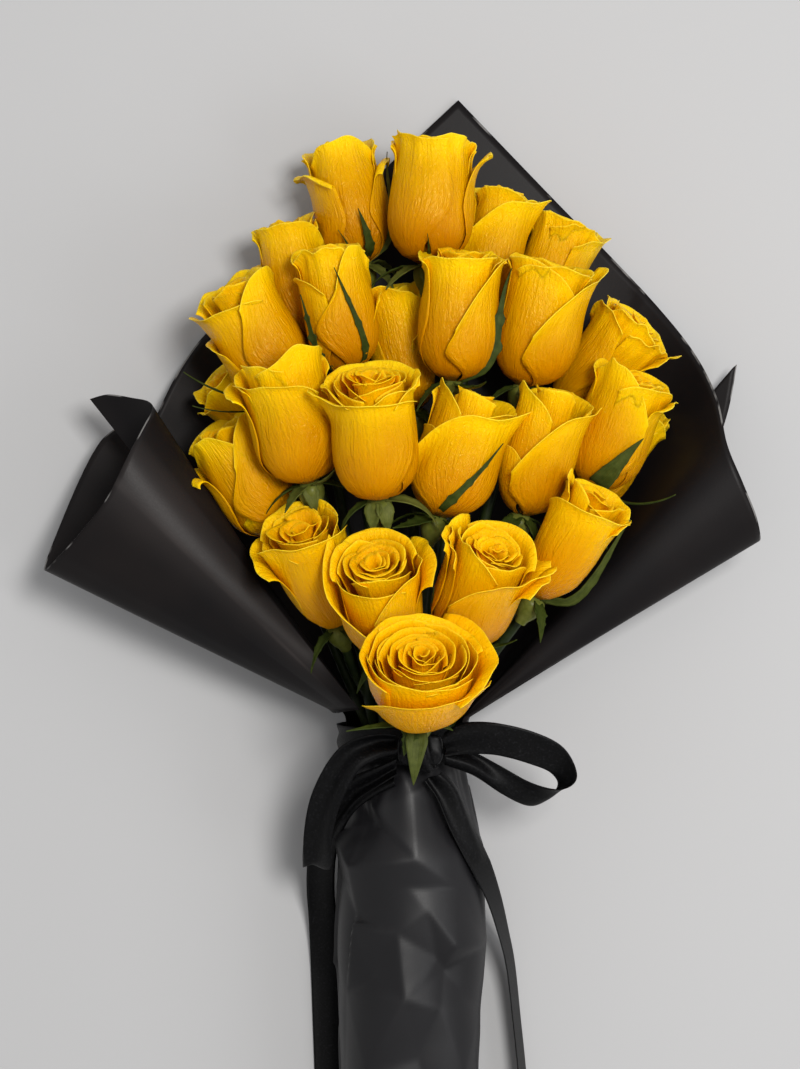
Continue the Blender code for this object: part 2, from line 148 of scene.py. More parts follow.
# ---------------------------------------------------------------- materials
class Nodes:
    """Short hand for building a material's nodes."""

    def __init__(self, name):
        self.material = bpy.data.materials.new(name)
        self.material.use_nodes = True
        self.tree = self.material.node_tree
        self.bsdf = self.tree.nodes["Principled BSDF"]

    def feed(self, socket, value):
        """Links another socket to this one, or sets a constant on it."""
        if isinstance(value, bpy.types.NodeSocket):
            self.tree.links.new(value, socket)
        elif socket.type == 'RGBA':
            socket.default_value = (*value, 1.0)
        else:
            socket.default_value = value

    def add(self, kind, **values):
        node = self.tree.nodes.new("ShaderNode" + kind)
        for key, value in values.items():
            if hasattr(node, key):
                setattr(node, key, value)
            else:
                self.feed(node.inputs[key], value)
        return node

    def surface(self, **values):
        """Sockets of the surface, with _ for a space in their names."""
        for key, value in values.items():
            self.feed(self.bsdf.inputs[key.replace("_", " ")], value)

    def uv(self):
        return self.add("UVMap", uv_map="UVMap").outputs[0]

    def up(self):
        """From 0 at a piece's foot to 1 at its rim."""
        return self.add("SeparateXYZ", Vector=self.uv()).outputs[1]

    def attribute(self, name):
        return self.add("Attribute", attribute_name=name).outputs["Fac"]

    def noise(self, scale, detail=2.0, roughness=0.5):
        """Noise that is fixed in the object."""
        place = self.add("TexCoord").outputs["Object"]
        return self.add("TexNoise", Vector=place, Scale=scale, Detail=detail,
                        Roughness=roughness).outputs[0]

    def drawn_out(self, across, along, detail=2.0, roughness=0.5, twist=0.0):
        """Noise on the piece's own map, finer across it than along it."""
        place = self.add("Mapping", Vector=self.uv(), Scale=(across, along, 1.0)).outputs[0]
        return self.add("TexNoise", Vector=place, Scale=1.0, Detail=detail,
                        Roughness=roughness, Distortion=twist).outputs[0]

    def relief(self, height, strength, depth):
        """Fine relief; depth is in metres."""
        bump = self.add("Bump", Height=height, Strength=strength, Distance=depth)
        self.surface(Normal=bump.outputs[0])

    def ramp(self, source, stops):
        node = self.add("ValToRGB")
        el = node.color_ramp.elements
        el[0].position, el[0].color = stops[0][0], (*stops[0][1], 1.0)
        el[1].position, el[1].color = stops[-1][0], (*stops[-1][1], 1.0)
        for place, colour in stops[1:-1]:
            el.new(place).color = (*colour, 1.0)
        self.feed(node.inputs[0], source)
        return node.outputs[0]

    def mix(self, factor, a, b, blend='MIX'):
        node = self.add("Mix", data_type='RGBA', blend_type=blend)
        for k, value in ((0, factor), (6, a), (7, b)):
            self.feed(node.inputs[k], value)
        return node.outputs[2]

    def math(self, op, *values):
        node = self.add("Math", operation=op)
        for socket, value in zip(node.inputs, values):
            self.feed(socket, value)
        return node.outputs[0]


WHITE = (1.0, 1.0, 1.0)


def petal_material():
    """Yellow, deeper orange toward the foot and in the heart, with crinkled glossy skin; the body
    is also painted darker toward the foot and paler at the rim, as painted shade and painted light.
    """
    n = Nodes("rose_petal")
    up = n.up()
    veins = n.drawn_out(30.0, 3.0, 2.0, 0.6, 0.7)
    crepe = n.drawn_out(34.0, 20.0, 2.0, 0.6, 1.2)
    # deeper orange toward the foot is the rose's own colour; the fall in brightness toward the foot
    # is painted shade, and the pale rim is painted light
    body = n.ramp(up, [(0.0, (0.50, 0.17, 0.0)), (0.14, (0.55, 0.22, 0.0)),
                       (0.40, (0.62, 0.29, 0.0)), (0.62, (0.74, 0.39, 0.0)),
                       (0.82, (0.92, 0.53, 0.001)), (0.96, (1.0, 0.62, 0.005)),
                       (1.0, (1.0, 0.66, 0.03))])
    deep = n.ramp(up, [(0.0, (1.0, 0.37, 0.0)), (0.5, (1.0, 0.43, 0.0)),
                       (0.92, (1.0, 0.48, 0.0)), (1.0, (1.0, 0.57, 0.008))])
    colour = n.mix(n.attribute("heart"), body, deep)
    tone = n.ramp(n.noise(45.0), [(0.34, (0.86, 0.78, 0.7)), (0.66, WHITE)])
    colour = n.mix(0.7, colour, tone, 'MULTIPLY')
    lines = n.ramp(veins, [(0.36, (0.90, 0.80, 0.6)), (0.56, WHITE)])
    colour = n.mix(0.2, colour, lines, 'MULTIPLY')
    n.surface(Base_Color=colour, Roughness=n.math('MULTIPLY_ADD', crepe, 0.2, 0.13),
              Subsurface_Weight=0.5, Subsurface_Radius=(1.0, 1.0, 0.3),
              Subsurface_Scale=0.0012, Specular_IOR_Level=0.19,
              Specular_Tint=(1.0, 0.85, 0.30))
    n.relief(n.math('MULTIPLY_ADD', crepe, 0.75, veins), 0.7, 0.0012)
    return n.material


def leaf_material(name, dark, light, roughness):
    """Ribbed green, which the attribute "pale" fades."""
    n = Nodes(name)
    spots = n.noise(260.0, 4.0, 0.6)
    ribs = n.drawn_out(22.0, 3.0, 3.0)
    fresh = n.ramp(spots, [(0.3, dark), (0.75, light)])
    faded = n.ramp(spots, [(0.3, (0.085, 0.092, 0.014)), (0.75, (0.150, 0.155, 0.034))])
    shade = n.ramp(ribs, [(0.35, (0.7, 0.75, 0.65)), (0.6, WHITE)])
    n.surface(Base_Color=n.mix(0.8, n.mix(n.attribute("pale"), fresh, faded), shade, 'MULTIPLY'),
              Roughness=roughness, Specular_IOR_Level=0.09)
    n.relief(ribs, 0.35, 0.0006)
    return n.material


def wrap_material(name, colour, roughness, grain, gloss, warm=WHITE, cut_edge=False):
    """Black sheet or film.  With cut_edge the pale core shows here and there along its
    rim, and the attribute "fold" paints a highlight and a warm sheen on it."""
    n = Nodes(name)
    fibre = n.noise(1400.0, 3.0, 0.7)
    lighter = tuple((c * 1.6 + 0.002) * w for c, w in zip(colour, warm))
    shade = n.ramp(n.noise(14.0, 3.0), [(0.3, colour), (0.75, lighter)])
    if cut_edge:
        rim = n.math('GREATER_THAN', n.up(), 0.9965)
        chips = n.ramp(n.noise(60.0), [(0.52, (0.0, 0.0, 0.0)), (0.60, WHITE)])
        shade = n.mix(n.math('MULTIPLY', rim, chips), shade, (0.16, 0.155, 0.15))
        # painted highlight along the left roll's crease, and painted warm sheen beside it, where
        # "fold" is set
        shade = n.mix(n.attribute("fold"), shade, (0.034, 0.0295, 0.0285))
    n.surface(Base_Color=shade, Specular_IOR_Level=gloss,
              Roughness=n.math('MULTIPLY_ADD', fibre, 0.16, roughness - 0.08))
    n.relief(fibre, grain, 0.0003)
    return n.material


def satin_material():
    n = Nodes("ribbon_satin")
    threads = n.drawn_out(600.0, 60.0, 2.0, 0.6)
    # a fine dark grain, with brighter specks that are painted glints of the satin's sheen
    colour = n.ramp(n.noise(1000.0), [(0.35, (0.0005, 0.0005, 0.0006)),
                                      (0.60, (0.0022, 0.0022, 0.0026)),
                                      (0.76, (0.011, 0.011, 0.012))])
    n.surface(Base_Color=colour, Roughness=n.math('MULTIPLY_ADD', threads, 0.22, 0.34),
              Specular_IOR_Level=0.12)
    n.relief(threads, 0.25, 0.0003)
    return n.material


def cane_material():
    # dark green, made darker than a fresh cane: painted shade for the unlit inside of the wrapping
    # where the canes lie
    n = Nodes("rose_cane_painted_shade")
    spots = n.noise(160.0, 4.0, 0.6)
    n.surface(Base_Color=n.ramp(spots, [(0.3, (0.006, 0.012, 0.002)),
                                        (0.75, (0.018, 0.028, 0.005))]),
              Roughness=0.5, Specular_IOR_Level=0.2)
    n.relief(spots, 0.3, 0.0005)
    return n.material


def rubber_material():
    n = Nodes("tie_band_rubber")
    n.surface(Base_Color=n.ramp(n.noise(400.0, 3.0), [(0.3, (0.15, 0.10, 0.05)),
                                                      (0.7, (0.22, 0.15, 0.08))]),
              Roughness=0.75)
    return n.material


PETAL = petal_material()
SEPAL = leaf_material("rose_sepal", (0.018, 0.029, 0.003), (0.048, 0.064, 0.010), 0.5)
HIP = leaf_material("rose_hip", (0.075, 0.085, 0.010), (0.150, 0.158, 0.034), 0.32)
CANE = cane_material()
RUBBER = rubber_material()
PAPER = wrap_material("wrapping_sheet", (0.0046, 0.0042, 0.0048), 0.42, 0.15, 0.10,
                      warm=(1.25, 1.05, 0.9), cut_edge=True)
FILM = wrap_material("handle_film", (0.0034, 0.0032, 0.0040), 0.45, 0.10, 0.30)
SATIN = satin_material()


# ---------------------------------------------------------------- roses
# The outside of a head: share of its length, share of its greatest radius.
CUP = [(0.0, 0.12), (0.03, 0.40), (0.08, 0.64), (0.15, 0.83), (0.24, 0.95), (0.36, 1.0),
       (0.50, 0.99), (0.65, 0.94), (0.80, 0.89), (0.90, 0.88), (1.0, 0.89)]

# How far a head's top is lowered about its own middle, which closes its opening a little.
NOD = {8: 8.0, 14: 5.0, 15: 3.0, 22: 11.0, 23: 11.0}
# How far the outer petals take the deep colour of the heart, which paints these front heads
# brighter low down, as painted light.
LIT = {19: 0.2, 20: 0.35, 21: 0.3, 22: 0.2, 23: 0.65}
# How much a head narrows toward its base.
TAPER = {3: 0.08, 9: 0.10, 10: 0.15, 15: 0.10, 17: 0.05, 19: 0.34, 20: 0.20, 21: 0.20,
         22: 0.24, 23: 0.42}
LAYING = 137.5          # from one petal of the spiral to the next
UP = Vector((0.0, 0.0, 1.0))


class Rose:
    """A head's place, read from its solid: base, axis, length, radius, and the
    directions that face up and to the right."""

    def __init__(self, number):
        self.number = number
        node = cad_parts["rose_%02d_bloom" % number]
        p = np.unique(np.round(np.array([v.co for v in node.data.vertices]), 6), axis=0)
        mean = p.mean(axis=0)
        # the axis is the direction whose spread differs most from the other two
        values, vectors = np.linalg.eigh(np.cov((p - mean).T))
        odd = 0 if values[1] - values[0] > values[2] - values[1] else 2
        u = Vector(vectors[:, odd]).normalized()
        if u.y < 0:
            u = -u
        along = (p - mean) @ np.array(u)
        side = np.linalg.norm((p - mean) - along[:, None] * np.array(u), axis=1)
        self.length = float(along.max() - along.min())
        self.radius = float(side.max())
        middle = Vector(mean) + u * (float(along.max() + along.min()) / 2)
        across = UP.cross(u).normalized()
        self.axis = u = Matrix.Rotation(math.radians(NOD.get(number, 0.0)), 3, across) @ u
        self.base = middle - u * (self.length / 2)
        self.front = (UP - u * UP.dot(u)).normalized()
        self.right = u.cross(self.front).normalized()
        self.shift = Vector((number * 3.7, number * 1.9, 0.0))
        self.taper = TAPER.get(number, 0.0)

    def out(self, phi):
        return self.front * math.cos(phi) + self.right * math.sin(phi)

    def at(self, phi, r, h):
        """Metres, from an angle in radians round the axis, a radius and a height."""
        return self.base + self.axis * h + self.out(phi) * r

    def swell(self, phi, h):
        """Unevenness that all the petals of a head share."""
        p = Vector((1.1 * math.cos(phi), 1.1 * math.sin(phi), 1.6 * h)) + self.shift
        return noise.noise(p) * 1.3 + noise.noise(p * 2.7) * 0.35


def petal(bm, rose, phi, half, top=0.96, q=1.0, tilt=0.0, dl=0.08, dr=0.08, pw=2.4,
          crown=0.12, foot=0.44, flare=2.0, curl=50.0, turn=0.10, tips=(), wave=0.45,
          waves=6.0, close=0.0, twist=0.25, edge=0.25, heart=0.0, funnel=0.0, rows=20, seed=0):
    """One petal wrapped on a head.  phi, half: its middle and half width.
    top: height of the rim as a share of the head, which tilt raises on the right, and
    dl and dr drop the left and right corners, the later across it the greater pw is.
    q: share of the head's radius.  foot, crown: how narrow it is at its foot, and how
    much narrower its rim is.  flare opens the rim; curl rolls its last share `turn`
    outward.  tips: (place across, rise, outward, width) for points on the rim.
    wave, waves: depth and number of the ripples.  close, funnel: how much it leans in
    toward its rim and its foot.  twist, edge: how far its right side and both its edges
    stand off.  heart: how deep its colour is."""
    length = rose.length
    layer = named(bm.verts.layers.float, "heart")
    rng = random.Random(seed * 977 + rose.number * 31)
    shift = Vector((rng.uniform(0, 50), rng.uniform(0, 50), rng.uniform(0, 50)))
    roll = math.radians(curl)

    def place(a, b):
        s, t = 2.0 * a - 1.0, 1.0 - (1.0 - b) ** 1.5
        wide = foot + (1.0 - foot) * smooth(t / 0.55) - crown * smooth((t - 0.5) / 0.5)
        ang = math.radians(phi + half * s * wide)
        height = top * (1.0 + tilt * s) - (dl if s < 0 else dr) * abs(s) ** pw
        out = 0.0
        for at, rise, away, width in tips:
            g = math.exp(-((s - at) / width) ** 2) * smooth((t - 0.65) / 0.35)
            height += rise * g
            out += away * g
        w = wave * smooth((t - 0.6) / 0.4) * min(1.0, 0.25 + 0.8 * q)
        ripple = noise.noise(Vector((s * waves * 0.34, 9.0, 0.0)) + shift)
        height += 0.5 * w * ripple * 6.0 * MM / length
        tc = 1.0 - turn
        h = height * min(t, tc)
        shape = profile(CUP, min(h, 1.0)) * (1.0 - close * smooth((h - 0.45) / 0.55))
        shape *= 1.0 - rose.taper * (1.0 - smooth(h / 0.85))
        shape *= 1.0 - funnel * max(0.0, 1.0 - h / max(top, 0.1))
        # an outer layer keeps its distance all the way up, an inner one shrinks
        stand_off = max(-0.14, q - 1.0)
        r = rose.radius * (shape * (q - stand_off) + stand_off * smooth(h / 0.16))
        k = smooth((t - 0.5) / 0.5)
        r += (flare * k * k + twist * s * min(1.0, 3 * t) + edge * abs(s) ** 8 * (0.25 + t)
              + rose.swell(ang, h) * smooth(t / 0.25) * min(1.0, q)) * MM
        if t > tc:
            if roll > 0.02:
                bend = roll * (1.0 + 0.55 * noise.noise(Vector((s * 2.3, 2.0, 1.0)) + shift))
                arc = turn * height * length / bend
                theta = bend * (t - tc) / turn
                r += arc * (1.0 - math.cos(theta))
                h += arc * math.sin(theta) / length
            else:
                h += height * (t - tc)
        r += (out + w * noise.noise(Vector((s * waves * 0.5, 0.0, 4.0)) + shift) * 1.8) * MM
        dent = noise.noise(Vector((s * 3.5, t * 3.0, 7.0)) + shift)
        r += 0.30 * min(1.0, q) * dent * MM * smooth(t / 0.3)
        return rose.at(ang, max(r, 0.15 * MM), h * length)

    for v in sheet_grid(bm, 22, rows, place):
        v[layer] = heart


def heart_petals(bm, rose, count, q0, top, dome, close, flare, curl, loose):
    """The spiral in the middle: each petal stands inside the one before it.  q0, top:
    the first one's share of the radius and height.  dome: how much higher the last one
    is.  loose: how uneven they are."""
    seed = rose.number * 17
    rng = random.Random(seed)
    phi = rose.number * 40.0
    for i in range(count):
        f = i / (count - 1)
        q = q0 * (1.0 - f) ** 0.9 + 0.045
        phi += LAYING + rng.uniform(-16, 16) * loose
        petal(bm, rose, phi, 72 + 75 * f * f, heart=0.4 + 0.6 * smooth(2.0 * f),
              top=top + dome * f + rng.uniform(-0.018, 0.018) * loose, q=q,
              tilt=rng.uniform(-0.03, 0.03) * loose, dl=rng.uniform(0.03, 0.09),
              dr=rng.uniform(0.03, 0.09), flare=flare * (1.0 - 0.45 * f),
              curl=curl * (0.35 + 0.75 * smooth(f * 3.0)), turn=0.09, wave=0.55 * loose,
              waves=rng.uniform(2, 4), close=close * (1 - 0.4 * f), crown=0.1,
              twist=1.4 * (1.0 - 0.6 * f), edge=0.2, foot=0.6, funnel=0.62 - 0.2 * f,
              rows=12, seed=seed + i,
              tips=[(rng.uniform(-0.5, 0.5), rng.uniform(0.0, 0.022), 0.0, 0.16)])


def strip(bm, centre, across, bow, width):
    """A narrow blade along centre(s), which reaches width(s) to either side in the
    direction across(s) and is cupped toward bow(s)."""
    def place(a, b):
        x, w = 2.0 * a - 1.0, width(b)
        return centre(b) + (across(b) * (x * w) + bow(b) * (0.25 * w * x * x)) * MM
    return sheet_grid(bm, 6, 26, place)


def sepal(bm, rose, phi, length, width=3.4, rise=None, to=None, drift=0.0, lift=1.0,
          teeth=0.35, lean=0.0, pale=0.0, facing=0.0, seed=1):
    """A sepal at phi.  With rise it leaves the base at that angle above straight outward
    and turns to the angle `to`; without, it lies on the petals.  drift turns it round the
    head on its way.  teeth: how jagged its edges are.  lift: how far its tip stands off.
    lean, facing: how far it is turned to its bowed side, and to the front.  pale: how
    faded it is."""
    rng = random.Random(seed + rose.number * 13)
    phase = rng.uniform(0, 6)
    steps = 48
    points, normals = [], []
    a0 = math.radians(phi)
    if rise is None:
        for k in range(steps + 1):
            s = k / steps
            h = s * length / (rose.length / MM)
            a = a0 + math.radians(drift) * s
            r = max(3.6 * MM, rose.radius * profile(CUP, min(h, 1.0)) * min(1, 0.2 + 9 * h)
                    + (0.9 + 3.0 * lift * s ** 3 + max(0.0, rose.swell(a, h))) * MM)
            points.append(rose.at(a, r, h * rose.length))
            normals.append(rose.out(a).lerp(rose.front, facing).normalized())
    else:
        p = rose.at(a0, 4.2 * MM, -0.8 * MM)
        for k in range(steps + 1):
            s = k / steps
            th = math.radians(rise + (to - rise) * s)
            side = math.radians(drift) * s
            out = rose.out(a0 + side)
            points.append(p.copy())
            normals.append(out * -math.sin(th) + rose.axis * math.cos(th))
            p += (out * math.cos(th) + rose.axis * math.sin(th)) * (length / steps * MM)

    def read(table, s):
        x = min(max(s, 0.0), 1.0) * steps
        i = min(int(x), steps - 1)
        return table[i].lerp(table[i + 1], x - i)

    def bow(s):
        return read(normals, s).normalized()

    def across(s):
        ahead = (read(points, s + 0.02) - read(points, s - 0.02)).normalized()
        return (ahead.cross(bow(s)).normalized() + bow(s) * lean * s).normalized()

    def width_at(s):
        w = (0.60 + 0.40 * smooth(s / 0.28)) * (1.0 - s) ** 0.85
        if 0.12 < s < 0.75:
            w *= 1.0 + teeth * max(0.0, math.sin(s * 27.0 + phase)) ** 3
        return max(0.12, width * w)

    layer = named(bm.verts.layers.float, "pale")
    for v in strip(bm, lambda s: read(points, s), across, bow, width_at):
        v[layer] = pale


# The hip's outline: radius, height above the petals' base.
HIP_OUTLINE = [(2.7, -14.0), (3.1, -12.0), (4.6, -9.6), (5.9, -6.6), (6.3, -3.8), (5.8, -1.4),
               (4.2, 0.3), (1.5, 0.9)]


def hip(rose):
    """The smooth swelling under the petals, faintly five-sided."""
    bm = bmesh.new()
    verts = [bm.verts.new((r * MM, 0.0, h * MM)) for r, h in HIP_OUTLINE]
    edges = [bm.edges.new(pair) for pair in zip(verts, verts[1:])]
    bmesh.ops.spin(bm, geom=verts + edges, cent=(0, 0, 0), axis=UP, angle=math.tau,
                   steps=20, use_merge=True)
    bmesh.ops.remove_doubles(bm, verts=bm.verts, dist=1e-6)
    bmesh.ops.recalc_face_normals(bm, faces=bm.faces)
    for v in bm.verts:
        a = math.atan2(v.co.y, v.co.x)
        r = math.hypot(v.co.x, v.co.y) * (1.0 + 0.035 * math.cos(5 * a + rose.number))
        v.co = rose.at(a, r, v.co.z)
    piece("rose_%02d_hip" % rose.number, bm, HIP, "stems")


def P(phi, half, top, q, **more):
    """What petal() is told of one petal."""
    return dict(phi=phi, half=half, top=top, q=q, **more)


def S(phi, length, **more):
    """What sepal() is told of one sepal."""
    return dict(phi=phi, length=length, **more)


def B(phi, length):
    """A sepal bent back under its head."""
    return S(phi, length, rise=-10, to=-60)


# Three petals that many heads have at the back.
BACK = [P(178, 80, 1.0, 0.97, flare=1.5), P(-128, 60, 0.99, 0.92, flare=1.0),
        P(128, 60, 0.99, 0.90, flare=1.0)]

